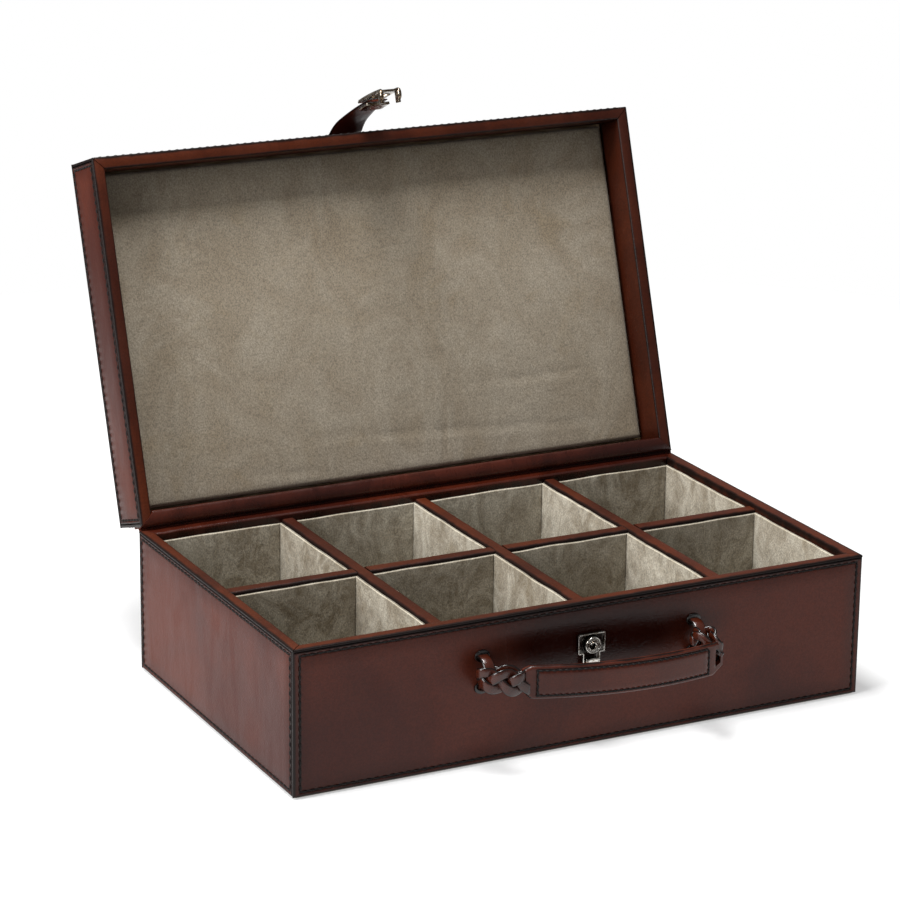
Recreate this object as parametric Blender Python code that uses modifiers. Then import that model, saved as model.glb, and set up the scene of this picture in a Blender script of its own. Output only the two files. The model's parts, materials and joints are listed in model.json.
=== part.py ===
"""A leather watch box, modelled as an assembly of its separate pieces.

Units are metres, +Z is up and +X runs along the front. The origin is the centre of the underside,
and the front, with the lock and the handle, faces -Y. The lid stands open on its hinge.
"""

from math import cos, pi, radians, sin

import bmesh
import bpy
from mathutils import Vector

# Driving dimensions
BOX_WIDTH = 0.360
BOX_DEPTH = 0.2168
BASE_HEIGHT = 0.086
LID_WIDTH = 0.358
LID_HEIGHT = 0.0369
LID_OPEN_ANGLE = radians(108.24)
HINGE_AXIS = Vector((0, 0.1081, 0.0884))

FIT_GAP = 0.0003  # between neighbouring pieces
LEATHER = 0.0016  # outer panels
BOARD = 0.0041  # wooden walls
BASE_BOARD = 0.005
RIM_FLANGE = 0.0012  # thickness of the rim strip's top
RIM_TURN_IN = 0.0010  # thickness of the rim strip down the inner side
RIM_DEPTH = 0.010  # how far the base's rim strip runs down inside
LID_RIM_DEPTH = 0.025
GUSSET = 0.0018  # leather hinge on the inside
PAD = 0.0018  # suede under the box
PAD_INSET = 0.001

DIVIDER = 0.008
DIVIDER_DROP = 0.003  # divider tops below the rim
LINER = 0.0012  # suede on card
LINER_DROP = 0.005  # liner tops below the rim
COLUMNS = 4

LINING_DEPTH = 0.021  # the lid's padded lining starts this far above its rim
LINING_MARGIN = 0.0015

HINGE_LEATHER = 0.0012
HINGE_LEAF = 0.020
HINGE_LEAF_START = 0.0057  # the upper leaf starts this far above the lid's rim

ANCHOR_X = 0.067
ANCHOR_Z = 0.0553
STAPLE_RADIUS = 0.009
STAPLE_TUBE = 0.0026
STAPLE_LEG = 0.002
EYE_TUBE = 0.0021
EYE_CLEARANCE = 0.0006
GRIP_START, GRIP_END = -0.049, 0.067
GRIP_HEIGHT = 0.0192
GRIP_THICKNESS = 0.0048
GRIP_STAND_OFF = 0.025  # front of the grip's ends from the box
GRIP_BOW = 0.008
GRIP_LEVEL = 0.0539  # height of the grip's left end
GRIP_FALL = 0.0055  # how much lower its right end hangs
PLAIT_RADIUS = 0.0042

LOCK_Z = 0.0615
LOCK_HEAD_WIDTH, LOCK_HEAD_HEIGHT = 0.016, 0.011
LOCK_NECK_WIDTH, LOCK_BOTTOM = 0.010, 0.0425
LOCK_THICKNESS = 0.0027
BOSS_RADIUS, BOSS_BORE = 0.0049, 0.0026
PLUG_RADIUS = 0.0023

HASP_LENGTH = 0.0435
HASP_ROOT_WIDTH, HASP_END_WIDTH = 0.022, 0.014
HASP_LEATHER = 0.0024
HASP_METAL = 0.0012
HASP_PLATE_LENGTH = 0.0306
HASP_PLATE_WIDTH = 0.015
HASP_KEEPER_LENGTH = 0.012
HASP_ANGLES = (37.6, 13.9, 8.9, 1.1)  # degrees off the lid's front, at the root, bend, clamp and tip
HASP_BEND_AT = 0.4
HASP_ROOT = Vector((0, -0.1109, 0.1220))  # on the lid, with the lid closed
HASP_SEAT = 0.026  # length of the part stitched to the lid's top
HASP_RELIEF = 0.0016  # the strap's first bit, left free for its bend
HASP_WINDOW_AT, HASP_WINDOW_RADIUS = 0.0170, 0.0062  # from the clamp's start
HASP_LEG = (0.0016, 0.0076, 0.0040)
RIVET_SPREAD, RIVET_SHANK, RIVET_HEAD = 0.0038, 0.0010, 0.0018

CATCH_WIDTH = 0.008
CATCH_LOW, CATCH_HIGH = LOCK_Z - 0.0115, LOCK_Z - 0.0080

HALF_W, HALF_D = BOX_WIDTH / 2, BOX_DEPTH / 2
RIM_WIDTH = LEATHER + FIT_GAP + BOARD + FIT_GAP + RIM_TURN_IN
LID_BOTTOM = BASE_HEIGHT + FIT_GAP
LID_TOP = LID_BOTTOM + LID_HEIGHT
LID_HALF_W = LID_WIDTH / 2
PANEL_BOTTOM = PAD + FIT_GAP
INNER_X = HALF_W - RIM_WIDTH
INNER_FRONT = -HALF_D + RIM_WIDTH
INNER_BACK = HALF_D - RIM_WIDTH - (GUSSET - RIM_TURN_IN)
FRONT_FACE = -HALF_D
SWING_AXIS = Vector((0, FRONT_FACE - STAPLE_LEG, ANCHOR_Z))
CATCH_HOME = Vector((0, FRONT_FACE - LOCK_THICKNESS, (CATCH_LOW + CATCH_HIGH) / 2))


def clear_scene():
    for obj in list(bpy.data.objects):
        bpy.data.objects.remove(obj)


def make_collection(name):
    collection = bpy.data.collections.new(name)
    bpy.context.scene.collection.children.link(collection)
    return collection


def make_material(name, colour, roughness, metallic=0.0):
    material = bpy.data.materials.new(name)
    material.use_nodes = True
    shader = material.node_tree.nodes["Principled BSDF"]
    shader.inputs["Base Color"].default_value = (*colour, 1)
    shader.inputs["Roughness"].default_value = roughness
    shader.inputs["Metallic"].default_value = metallic
    material.diffuse_color = (*colour, 1)
    return material


def make_pivot(name, place, parent=None):
    """An empty on a joint's axis. place is where it is with the lid closed."""
    pivot = bpy.data.objects.new(name, None)
    pivot.empty_display_size = 0.02
    parts.objects.link(pivot)
    pivot["home"] = place
    pivot.parent = parent
    pivot.location = place - (Vector(parent["home"]) if parent else Vector())
    return pivot


def add_part(name, mesh, material, place=Vector(), pivot=None, bevel=0.0, segments=2):
    """A named piece. place is where its own origin is with the lid closed."""
    obj = bpy.data.objects.new(name, mesh)
    parts.objects.link(obj)
    own = material.copy()
    own.name = name
    mesh.materials.clear()
    mesh.materials.append(own)
    obj.parent = pivot
    obj.location = Vector(place) - (Vector(pivot["home"]) if pivot else Vector())
    if bevel:
        modifier = obj.modifiers.new("Rounded edges", "BEVEL")
        modifier.width = bevel
        modifier.segments = segments
        modifier.limit_method = "ANGLE"
        modifier.angle_limit = radians(40)
    return obj


def mesh_from(bm, name):
    bm.normal_update()
    bmesh.ops.recalc_face_normals(bm, faces=bm.faces)
    mesh = bpy.data.meshes.new(name)
    bm.to_mesh(mesh)
    bm.free()
    return mesh


def box_mesh(name, size):
    bm = bmesh.new()
    bmesh.ops.create_cube(bm, size=1.0)
    bmesh.ops.scale(bm, vec=size, verts=bm.verts)
    return mesh_from(bm, name)


def box(name, low, high, material, pivot=None, bevel=0.0005):
    """A board or panel between two opposite corners, given with the lid closed."""
    low, high = Vector(low), Vector(high)
    return add_part(name, box_mesh(name, high - low), material, (low + high) / 2, pivot, bevel)


def shaped_bar(name, cuts, shape):
    """A bar cut across its length, with each corner placed by shape(along, across, out).

    along runs from 0 to 1, across and out from -1 to 1.
    """
    bm = bmesh.new()
    bmesh.ops.create_cube(bm, size=2.0)
    lengthwise = [e for e in bm.edges if abs(e.verts[0].co.x - e.verts[1].co.x) > 1]
    bmesh.ops.subdivide_edges(bm, edges=lengthwise, cuts=cuts, use_grid_fill=True)
    for vert in bm.verts:
        vert.co = shape((vert.co.x + 1) / 2, vert.co.y, vert.co.z)
    return mesh_from(bm, name)


def mitred_mesh(name, section, half_length):
    """A section of (inward, height) points drawn out along X, with both ends mitred."""
    bm = bmesh.new()
    face = bm.faces.new([bm.verts.new((u - half_length, u, v)) for u, v in section])
    drawn = bmesh.ops.extrude_face_region(bm, geom=[face])["geom"]
    for vert in drawn:
        if isinstance(vert, bmesh.types.BMVert):
            vert.co.x = half_length - vert.co.y
    return mesh_from(bm, name)


def rim_section(width, turn_in, depth, flange, way):
    """An L: a flange across the wall's edge and a turn-in down its inner side.

    way is +1 where the turn-in runs up from the edge, and -1 where it runs down.
    """
    inner = width - turn_in
    corners = [(0, 0), (width, 0), (width, depth), (inner, depth), (inner, flange), (0, flange)]
    return [(u, way * v) for u, v in corners]


def rim_strips(prefix, half_w, edge, way, depth, pivot):
    """The leather that covers a rim: three mitred strips, and the inner hinge's leaf along the back."""
    section = rim_section(RIM_WIDTH, RIM_TURN_IN, depth, RIM_FLANGE, way)
    leaf_section = rim_section(HALF_D - INNER_BACK, GUSSET, depth, RIM_FLANGE, way)
    leaf = "hinge_gusset_lower" if way < 0 else "hinge_gusset_upper"
    sides = (
        (prefix + "_rim_front", section, half_w, (0, -HALF_D, edge), 0),
        (prefix + "_rim_left", section, HALF_D, (-half_w, 0, edge), -pi / 2),
        (prefix + "_rim_right", section, HALF_D, (half_w, 0, edge), pi / 2),
        (leaf, leaf_section, half_w, (0, HALF_D, edge), pi),
    )
    for name, profile, half_length, place, turn in sides:
        mesh = mitred_mesh(name, profile, half_length - FIT_GAP / 2)
        piece = add_part(name, mesh, LEATHER_RIM, place, pivot, 0.0004)
        piece.rotation_euler.z = turn


def curve_object(name, points, radius, resolution=3):
    curve = bpy.data.curves.new(name, "CURVE")
    curve.dimensions = "3D"
    curve.bevel_depth = radius
    curve.bevel_resolution = resolution
    curve.use_fill_caps = True
    spline = curve.splines.new("POLY")
    spline.points.add(len(points) - 1)
    for point, place in zip(spline.points, points):
        point.co = (*place, 1)
    obj = bpy.data.objects.new(name, curve)
    bpy.context.scene.collection.objects.link(obj)
    return obj


def curve_mesh(name, points, radius, resolution=3):
    """A capped tube along points, as a mesh that a Boolean can take."""
    guide = curve_object(name, points, radius, resolution)
    graph = bpy.context.evaluated_depsgraph_get()
    mesh = bpy.data.meshes.new_from_object(guide.evaluated_get(graph))
    bpy.data.objects.remove(guide)
    bm = bmesh.new()
    bm.from_mesh(mesh)
    bmesh.ops.remove_doubles(bm, verts=bm.verts, dist=1e-6)
    bm.to_mesh(mesh)
    bm.free()
    return mesh


def add_cutter(name, mesh, place, pivot=None):
    cutter = bpy.data.objects.new(name, mesh)
    cutters.objects.link(cutter)
    cutter.hide_render = True
    cutter.display_type = "WIRE"
    cutter.parent = pivot
    cutter.location = Vector(place) - (Vector(pivot["home"]) if pivot else Vector())
    return cutter


def combine(obj, other, operation):
    modifier = obj.modifiers.new(other.name, "BOOLEAN")
    modifier.operation = operation
    modifier.solver = "EXACT"
    modifier.object = other


def cylinder_mesh(name, radius, length, sides=32):
    bm = bmesh.new()
    size = {"radius1": radius, "radius2": radius, "depth": length}
    bmesh.ops.create_cone(bm, cap_ends=True, segments=sides, **size)
    return mesh_from(bm, name)


def turned(name, profile, material, place, pivot=None, steps=32):
    """A profile of (radius, height) points turned about an axis that points out of the box's front."""
    mesh = bpy.data.meshes.new(name)
    closed = profile[0][0] > 0
    edges = [(i, i + 1) for i in range(len(profile) - 1)] + ([(len(profile) - 1, 0)] if closed else [])
    mesh.from_pydata([(r, 0, z) for r, z in profile], edges, [])
    obj = add_part(name, mesh, material, place, pivot)
    obj.rotation_euler.x = pi / 2
    screw = obj.modifiers.new("Turned", "SCREW")
    screw.steps = screw.render_steps = steps
    screw.use_merge_vertices = True
    screw.merge_threshold = 1e-5
    return obj


def base_walls():
    """Five boards: a bottom with four walls standing on it."""
    inner = LEATHER + FIT_GAP
    x, y = HALF_W - inner, HALF_D - inner
    box("base_bottom_board", (-x, -y, PANEL_BOTTOM), (x, y, PANEL_BOTTOM + BASE_BOARD), WOOD)
    low = PANEL_BOTTOM + BASE_BOARD + FIT_GAP
    high = BASE_HEIGHT - RIM_FLANGE - FIT_GAP
    box("base_front_wall", (-x, -y, low), (x, -y + BOARD, high), WOOD)
    box("base_back_wall", (-x, y - BOARD, low), (x, y, high), WOOD)
    side_y = y - BOARD - FIT_GAP
    for side, name in ((-1, "left"), (1, "right")):
        near, far = sorted((side * x, side * (x - BOARD)))
        box(f"base_{name}_wall", (near, -side_y, low), (far, side_y, high), WOOD)


def outer_leather(prefix, half_w, low, high, pivot=None):
    """Four panels round the walls; the front and back ones cover the side ones' edges."""
    for near, name in ((-HALF_D, "front"), (HALF_D - LEATHER, "back")):
        corners = (-half_w, near, low), (half_w, near + LEATHER, high)
        box(f"{prefix}_{name}_leather", *corners, LEATHER_PANEL, pivot)
    y = HALF_D - LEATHER - FIT_GAP
    for side, name in ((-1, "left"), (1, "right")):
        near, far = sorted((side * half_w, side * (half_w - LEATHER)))
        box(f"{prefix}_{name}_leather", (near, -y, low), (far, y, high), LEATHER_PANEL, pivot)


def dividers():
    """One long board and three short ones, half-lapped where they cross."""
    bottom = PANEL_BOTTOM + BASE_BOARD + FIT_GAP
    top = BASE_HEIGHT - DIVIDER_DROP
    middle = (bottom + top) / 2
    half_x = INNER_X - FIT_GAP
    slot = DIVIDER / 2 + FIT_GAP
    long_divider = box(
        "long_divider", (-half_x, -DIVIDER / 2, bottom), (half_x, DIVIDER / 2, top), LEATHER_RIM, bevel=0
    )
    front, back = INNER_FRONT + FIT_GAP, INNER_BACK - FIT_GAP
    for index, x in enumerate(divider_places(), 1):
        cross = box(
            f"cross_divider_{index}",
            (x - DIVIDER / 2, front, bottom),
            (x + DIVIDER / 2, back, top),
            LEATHER_RIM,
            bevel=0,
        )
        low_slot = box_mesh("low_slot", (DIVIDER * 2, 2 * slot, middle - bottom + 0.01))
        cutter = add_cutter(f"low_slot_{index}", low_slot, (x, 0, (middle + bottom - 0.01) / 2))
        combine(cross, cutter, "DIFFERENCE")
        high_slot = box_mesh("high_slot", (2 * slot, DIVIDER * 2, top - middle + 0.01))
        place = (x, 0, (middle + top + 0.01) / 2 - FIT_GAP)
        combine(long_divider, add_cutter(f"high_slot_{index}", high_slot, place), "DIFFERENCE")


def divider_places():
    cell = (2 * INNER_X - (COLUMNS - 1) * DIVIDER) / COLUMNS
    return [-INNER_X + cell * i + DIVIDER * (i - 0.5) for i in range(1, COLUMNS)]


def compartment_liners():
    """An open suede tray for each of the eight compartments."""
    bottom = PANEL_BOTTOM + BASE_BOARD + FIT_GAP
    top = BASE_HEIGHT - LINER_DROP
    edges = [-INNER_X - DIVIDER / 2, *divider_places(), INNER_X + DIVIDER / 2]
    rows = ((INNER_FRONT, -DIVIDER / 2), (DIVIDER / 2, INNER_BACK))
    number = 0
    for front, back in rows:
        for left, right in zip(edges[:-1], edges[1:]):
            number += 1
            low = Vector((left + DIVIDER / 2 + FIT_GAP, front + FIT_GAP, bottom))
            high = Vector((right - DIVIDER / 2 - FIT_GAP, back - FIT_GAP, top))
            bm = bmesh.new()
            bmesh.ops.create_cube(bm, size=1.0)
            bmesh.ops.scale(bm, vec=high - low, verts=bm.verts)
            lid_face = max(bm.faces, key=lambda face: face.calc_center_median().z)
            bmesh.ops.delete(bm, geom=[lid_face], context="FACES_ONLY")
            mesh = mesh_from(bm, "liner")
            tray = add_part(f"compartment_liner_{number}", mesh, SUEDE, (low + high) / 2)
            wall = tray.modifiers.new("Card and suede", "SOLIDIFY")
            wall.thickness = LINER
            wall.offset = -1
            wall.use_even_offset = True


def lid_boards(lid):
    inner = LEATHER + FIT_GAP
    x, y = LID_HALF_W - inner, HALF_D - inner
    low = LID_BOTTOM + RIM_FLANGE + FIT_GAP
    board_low = LID_TOP - LEATHER - FIT_GAP - BOARD
    high = board_low - FIT_GAP
    box("lid_top_board", (-x, -y, board_low), (x, y, board_low + BOARD), WOOD, lid)
    box("lid_front_wall", (-x, -y, low), (x, -y + BOARD, high), WOOD, lid)
    box("lid_back_wall", (-x, y - BOARD, low), (x, y, high), WOOD, lid)
    side_y = y - BOARD - FIT_GAP
    for side, name in ((-1, "left"), (1, "right")):
        near, far = sorted((side * x, side * (x - BOARD)))
        box(f"lid_{name}_wall", (near, -side_y, low), (far, side_y, high), WOOD, lid)


def lid_coverings(lid):
    low = LID_BOTTOM + RIM_FLANGE + FIT_GAP
    outer_leather("lid", LID_HALF_W, low, LID_TOP - LEATHER - FIT_GAP, lid)
    top_low = LID_TOP - LEATHER
    top_corners = (-LID_HALF_W, -HALF_D, top_low), (LID_HALF_W, HALF_D, LID_TOP)
    box("lid_top_leather", *top_corners, LEATHER_PANEL, lid)
    x = LID_HALF_W - RIM_WIDTH - LINING_MARGIN
    front, back = INNER_FRONT + LINING_MARGIN, INNER_BACK - LINING_MARGIN
    high = LID_TOP - LEATHER - 2 * FIT_GAP - BOARD
    pad_corners = (-x, front, LID_BOTTOM + LINING_DEPTH), (x, back, high)
    box("lid_lining_pad", *pad_corners, SUEDE, lid, bevel=0.0015)


def leather_hinge(lid):
    """Two leaves of the outer leather hinge, one on the base's back and one on the lid's."""
    x = HALF_W - 0.004
    near = HALF_D + FIT_GAP
    far = near + HINGE_LEATHER
    box("hinge_strip_lower", (-x, near, BASE_HEIGHT - HINGE_LEAF), (x, far, BASE_HEIGHT), LEATHER_PANEL)
    low = LID_BOTTOM + HINGE_LEAF_START
    box("hinge_strip_upper", (-x, near, low), (x, far, low + HINGE_LEAF - 0.004), LEATHER_PANEL, lid)


def handle_staples():
    """Two leather loops that stand out of the front, for the handle's plaits to hang on."""
    base_y = FRONT_FACE - FIT_GAP
    for side, name in ((-1, "left"), (1, "right")):
        arc = []
        for step in range(17):
            angle = pi / 2 - pi * step / 16
            y = SWING_AXIS.y - STAPLE_RADIUS * cos(angle)
            arc.append((side * ANCHOR_X, y, ANCHOR_Z + STAPLE_RADIUS * sin(angle)))
        top, bottom = arc[0], arc[-1]
        points = [(top[0], base_y, top[2]), *arc, (bottom[0], base_y, bottom[2])]
        mesh = curve_mesh(f"handle_staple_{name}", points, STAPLE_TUBE)
        add_part(f"handle_staple_{name}", mesh, LEATHER_HANDLE)


def grip_front(x):
    """Distance of the grip's front from the box's front at x."""
    middle = (GRIP_START + GRIP_END) / 2
    share = (x - middle) / (GRIP_END - middle)
    return GRIP_STAND_OFF + GRIP_BOW * (1 - share * share)


def grip_level(x):
    return GRIP_LEVEL - GRIP_FALL * (x - GRIP_START) / (GRIP_END - GRIP_START)


def handle_grip(swing):
    def shape(along, across, out):
        x = GRIP_START + along * (GRIP_END - GRIP_START)
        y = FRONT_FACE - grip_front(x) + GRIP_THICKNESS / 2 * (1 - across)
        return Vector((x, y, grip_level(x) + out * GRIP_HEIGHT / 2)) - SWING_AXIS

    mesh = shaped_bar("handle_grip", 11, shape)
    add_part("handle_grip", mesh, LEATHER_HANDLE, SWING_AXIS, swing, 0.0009)


def plait_path(side):
    """Way from the eye on the staple to the end of the grip."""
    eye_outer = SWING_AXIS.y - STAPLE_RADIUS - STAPLE_TUBE - EYE_CLEARANCE - EYE_TUBE
    grip_x = GRIP_START if side < 0 else GRIP_END
    level = grip_level(grip_x)
    grip_back = FRONT_FACE - grip_front(grip_x) + GRIP_THICKNESS
    if side < 0:
        middle = grip_back - GRIP_THICKNESS / 2
        return [
            (-ANCHOR_X, eye_outer, ANCHOR_Z),
            (-ANCHOR_X + 0.004, eye_outer - 0.0040, ANCHOR_Z - 0.0003),
            (-ANCHOR_X + 0.0095, middle + 0.0012, level + 0.0004),
            (grip_x - 0.0045, middle, level),
            (grip_x - FIT_GAP, middle, level),
        ]
    x, z = ANCHOR_X - 0.0015, ANCHOR_Z - 0.0012
    return [(x, eye_outer + 0.0017, z), (x, grip_back + FIT_GAP, z)]


def handle_plait(side, name, swing):
    """A plait with the eye that rides on the staple."""
    centre = Vector((side * ANCHOR_X, SWING_AXIS.y - STAPLE_RADIUS, ANCHOR_Z))
    eye_radius = STAPLE_TUBE + EYE_CLEARANCE + EYE_TUBE
    bpy.ops.mesh.primitive_torus_add(
        major_radius=eye_radius, minor_radius=EYE_TUBE, major_segments=24, minor_segments=12
    )
    eye = bpy.context.object
    mesh = eye.data
    bpy.data.objects.remove(eye)
    plait = add_part(f"plait_{name}", mesh, LEATHER_HANDLE, centre, swing)
    tube = curve_mesh(f"plait_{name}_tube", plait_path(side), PLAIT_RADIUS)
    combine(plait, add_cutter(f"plait_{name}_tube", tube, Vector(), swing), "UNION")


def lock_outline():
    head, neck = LOCK_HEAD_WIDTH / 2, LOCK_NECK_WIDTH / 2
    top = LOCK_Z + LOCK_HEAD_HEIGHT / 2 + 0.0005
    shoulder = top - LOCK_HEAD_HEIGHT
    half = [(head, top), (head, shoulder), (neck, shoulder), (neck, LOCK_BOTTOM)]
    return half + [(-x, z) for x, z in reversed(half)]


def flat_mesh(name, outline, thickness):
    """A flat outline in X and Z, drawn out along Y."""
    bm = bmesh.new()
    face = bm.faces.new([bm.verts.new((x, -thickness / 2, z)) for x, z in outline])
    drawn = bmesh.ops.extrude_face_region(bm, geom=[face])["geom"]
    moved = [part for part in drawn if isinstance(part, bmesh.types.BMVert)]
    bmesh.ops.translate(bm, verts=moved, vec=(0, thickness, 0))
    return mesh_from(bm, name)


def lock():
    """The nickel lock: a T-shaped plate, a round boss, the plug that the key turns, a sprung catch."""
    back = FRONT_FACE - FIT_GAP
    front = back - LOCK_THICKNESS
    middle = back - LOCK_THICKNESS / 2
    plate_mesh = flat_mesh("lock_plate", lock_outline(), LOCK_THICKNESS)
    plate = add_part("lock_plate", plate_mesh, NICKEL, (0, middle, 0))
    bore_mesh = cylinder_mesh("lock_bore", BOSS_RADIUS + FIT_GAP, 0.01)
    bore = add_cutter("lock_bore", bore_mesh, (0, middle, LOCK_Z))
    bore.rotation_euler.x = pi / 2
    combine(plate, bore, "DIFFERENCE")
    soften = plate.modifiers.new("Rounded edges", "BEVEL")
    soften.width = 0.0003
    soften.segments = 2
    soften.limit_method = "ANGLE"

    rise = LOCK_THICKNESS + 0.0024
    boss_profile = [
        (BOSS_BORE, 0),
        (BOSS_BORE, rise - 0.0004),
        (BOSS_BORE + 0.0004, rise),
        (BOSS_RADIUS - 0.0010, rise),
        (BOSS_RADIUS, rise - 0.0010),
        (BOSS_RADIUS, 0),
    ]
    turned("lock_boss", boss_profile, NICKEL, (0, back, LOCK_Z))

    top = rise - 0.0006
    pin, well = 0.0006, 0.0014
    plug_profile = [
        (0.0, top - 0.0002),
        (pin, top - 0.0004),
        (pin, 0.0012),
        (well, 0.0012),
        (well, top),
        (PLUG_RADIUS - 0.0003, top),
        (PLUG_RADIUS, top - 0.0003),
        (PLUG_RADIUS, 0),
        (0.0, 0),
    ]
    plug = turned("lock_plug", plug_profile, NICKEL, (0, back, LOCK_Z), lock_turn)
    slot_mesh = box_mesh("key_slot", (0.0008, 0.004, 0.0016))
    combine(plug, add_cutter("key_slot", slot_mesh, (0, front - 0.001, LOCK_Z - 0.0019)), "DIFFERENCE")

    def lip(along, across, out):
        lift = 0.0012 * (1 + out) / 2 * (1 - (2 * along - 1) ** 2 * 0.4)
        y = front - FIT_GAP - 0.0004 - (0.0004 + lift) * (1 - across) / 2
        z = CATCH_HOME.z + out * (CATCH_HIGH - CATCH_LOW) / 2
        return Vector(((along - 0.5) * CATCH_WIDTH, y, z)) - CATCH_HOME

    mesh = shaped_bar("lock_catch", 5, lip)
    add_part("lock_catch", mesh, NICKEL, CATCH_HOME, lock_slide, 0.0002)


def hasp_angle(length):
    """How far the hasp leans off the lid's front at this length from its root."""
    bend = HASP_BEND_AT * HASP_LENGTH
    stops = (0.0, bend, HASP_LENGTH, HASP_LENGTH + HASP_PLATE_LENGTH)
    for (start, end), (low, high) in zip(pairs(stops), pairs(HASP_ANGLES)):
        if length <= end:
            break
    return radians(low + (high - low) * (length - start) / (end - start))


def pairs(values):
    return list(zip(values[:-1], values[1:]))


def hasp_curve(length):
    """Place and angle on the hasp's middle line, which runs down from its root, with the lid closed."""
    place = Vector()
    steps = max(1, round(length / 0.0005))
    step = length / steps
    for index in range(steps):
        angle = hasp_angle((index + 0.5) * step)
        place -= Vector((0, sin(angle), cos(angle))) * step
    return place, hasp_angle(length)


def hasp_point(length, x, off):
    """A point off the hasp's middle line, off metres outwards, relative to its root."""
    place, angle = hasp_curve(length)
    return place + Vector((x, -cos(angle) * off, sin(angle) * off))


def hasp(flex):
    """A leather strap with its end clamped between nickel plates; the outer one closes over the lock."""

    def strap(along, across, out):
        half = (HASP_ROOT_WIDTH + (HASP_END_WIDTH - HASP_ROOT_WIDTH) * along) / 2
        reach = along * (HASP_LENGTH + HASP_KEEPER_LENGTH - 0.001) + (1 - along) * HASP_RELIEF
        return hasp_point(reach, across * half, out * HASP_LEATHER / 2)

    strap_mesh = shaped_bar("hasp_strap", 15, strap)
    strap_part = add_part("hasp_strap", strap_mesh, LEATHER_HANDLE, HASP_ROOT, flex, 0.0006)

    inner = HASP_LEATHER / 2 + FIT_GAP

    def plate(along, across, out):
        half = HASP_PLATE_WIDTH / 2 - 0.001 * along
        reach = HASP_LENGTH + along * HASP_PLATE_LENGTH
        return hasp_point(reach, across * half, inner + HASP_METAL * (1 + out) / 2)

    plate_part = add_part("hasp_plate", shaped_bar("hasp_plate", 8, plate), NICKEL, HASP_ROOT, flex)

    def keeper(along, across, out):
        reach = HASP_LENGTH + along * HASP_KEEPER_LENGTH
        return hasp_point(reach, across * HASP_PLATE_WIDTH / 2, -inner - HASP_METAL * (1 - out) / 2)

    keeper_part = add_part("hasp_keeper", shaped_bar("hasp_keeper", 4, keeper), NICKEL, HASP_ROOT, flex)

    tip_length = HASP_LENGTH + HASP_PLATE_LENGTH
    for side in (-1, 1):
        place = hasp_point(tip_length - 0.0022, side * (HASP_PLATE_WIDTH / 2 - 0.0019), inner - 0.0030)
        leg = add_cutter(f"hasp_leg_{side}", box_mesh("hasp_leg", HASP_LEG), HASP_ROOT + place, flex)
        combine(plate_part, leg, "UNION")

    window_at, angle = hasp_curve(HASP_LENGTH + HASP_WINDOW_AT)
    window_mesh = cylinder_mesh("hasp_window", HASP_WINDOW_RADIUS, 0.02)
    window = add_cutter("hasp_window", window_mesh, HASP_ROOT + window_at, flex)
    window.rotation_euler.x = pi / 2 - angle
    combine(plate_part, window, "DIFFERENCE")

    rivets_at, angle = hasp_curve(HASP_LENGTH + HASP_KEEPER_LENGTH / 2)
    reach = inner + HASP_METAL + FIT_GAP
    crown = [(0.0, reach + 0.0007), (0.0012, reach + 0.0004), (RIVET_HEAD, reach), (RIVET_SHANK, reach)]
    profile = crown + [(radius, -height) for radius, height in reversed(crown)]
    for index, side in enumerate((-1, 1), 1):
        place = HASP_ROOT + rivets_at + Vector((side * RIVET_SPREAD, 0, 0))
        hole_mesh = cylinder_mesh("rivet_hole", RIVET_SHANK + FIT_GAP, 0.02, 16)
        hole = add_cutter(f"rivet_hole_{index}", hole_mesh, place, flex)
        hole.rotation_euler.x = pi / 2 - angle
        for piece in (plate_part, keeper_part, strap_part):
            combine(piece, hole, "DIFFERENCE")
        rivet = turned(f"hasp_rivet_{index}", profile, NICKEL, place, flex, 16)
        rivet.rotation_euler.x = pi / 2 - angle


def hasp_seat(lid):
    """The strap's stitched end, on the lid's top."""
    low = LID_TOP + FIT_GAP
    front = -HALF_D + 0.0005
    box(
        "hasp_seat",
        (-HASP_ROOT_WIDTH / 2, front, low),
        (HASP_ROOT_WIDTH / 2, front + HASP_SEAT, low + HASP_LEATHER),
        LEATHER_HANDLE,
        lid,
        bevel=0.0006,
    )


clear_scene()
parts = make_collection("Watch box")
cutters = make_collection("Cutters")

LEATHER_PANEL = make_material("leather_panel", (0.115, 0.035, 0.025), 0.32)
LEATHER_RIM = make_material("leather_rim", (0.14, 0.035, 0.016), 0.36)
LEATHER_HANDLE = make_material("leather_handle", (0.10, 0.032, 0.022), 0.30)
SUEDE = make_material("suede", (0.33, 0.28, 0.21), 0.95)
WOOD = make_material("wood", (0.42, 0.30, 0.19), 0.7)
NICKEL = make_material("nickel", (0.66, 0.65, 0.62), 0.22, 1.0)

lid_pivot = make_pivot("lid_hinge", HINGE_AXIS)
hasp_pivot = make_pivot("hasp_flex", HASP_ROOT, lid_pivot)
handle_pivot = make_pivot("handle_swing", SWING_AXIS)
lock_turn = make_pivot("lock_turn", Vector((0, FRONT_FACE, LOCK_Z)))
lock_slide = make_pivot("lock_slide", CATCH_HOME)

box(
    "base_pad",
    (-HALF_W + PAD_INSET, -HALF_D + PAD_INSET, 0),
    (HALF_W - PAD_INSET, HALF_D - PAD_INSET, PAD),
    SUEDE,
    bevel=0,
)
base_walls()
outer_leather("base", HALF_W, PANEL_BOTTOM, BASE_HEIGHT - RIM_FLANGE - FIT_GAP)
rim_strips("base", HALF_W, BASE_HEIGHT, -1, RIM_DEPTH, None)
dividers()
compartment_liners()
handle_staples()
lock()

lid_boards(lid_pivot)
lid_coverings(lid_pivot)
rim_strips("lid", LID_HALF_W, LID_BOTTOM, 1, LID_RIM_DEPTH, lid_pivot)
leather_hinge(lid_pivot)
hasp_seat(lid_pivot)
hasp(hasp_pivot)

handle_grip(handle_pivot)
handle_plait(-1, "left", handle_pivot)
handle_plait(1, "right", handle_pivot)

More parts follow.
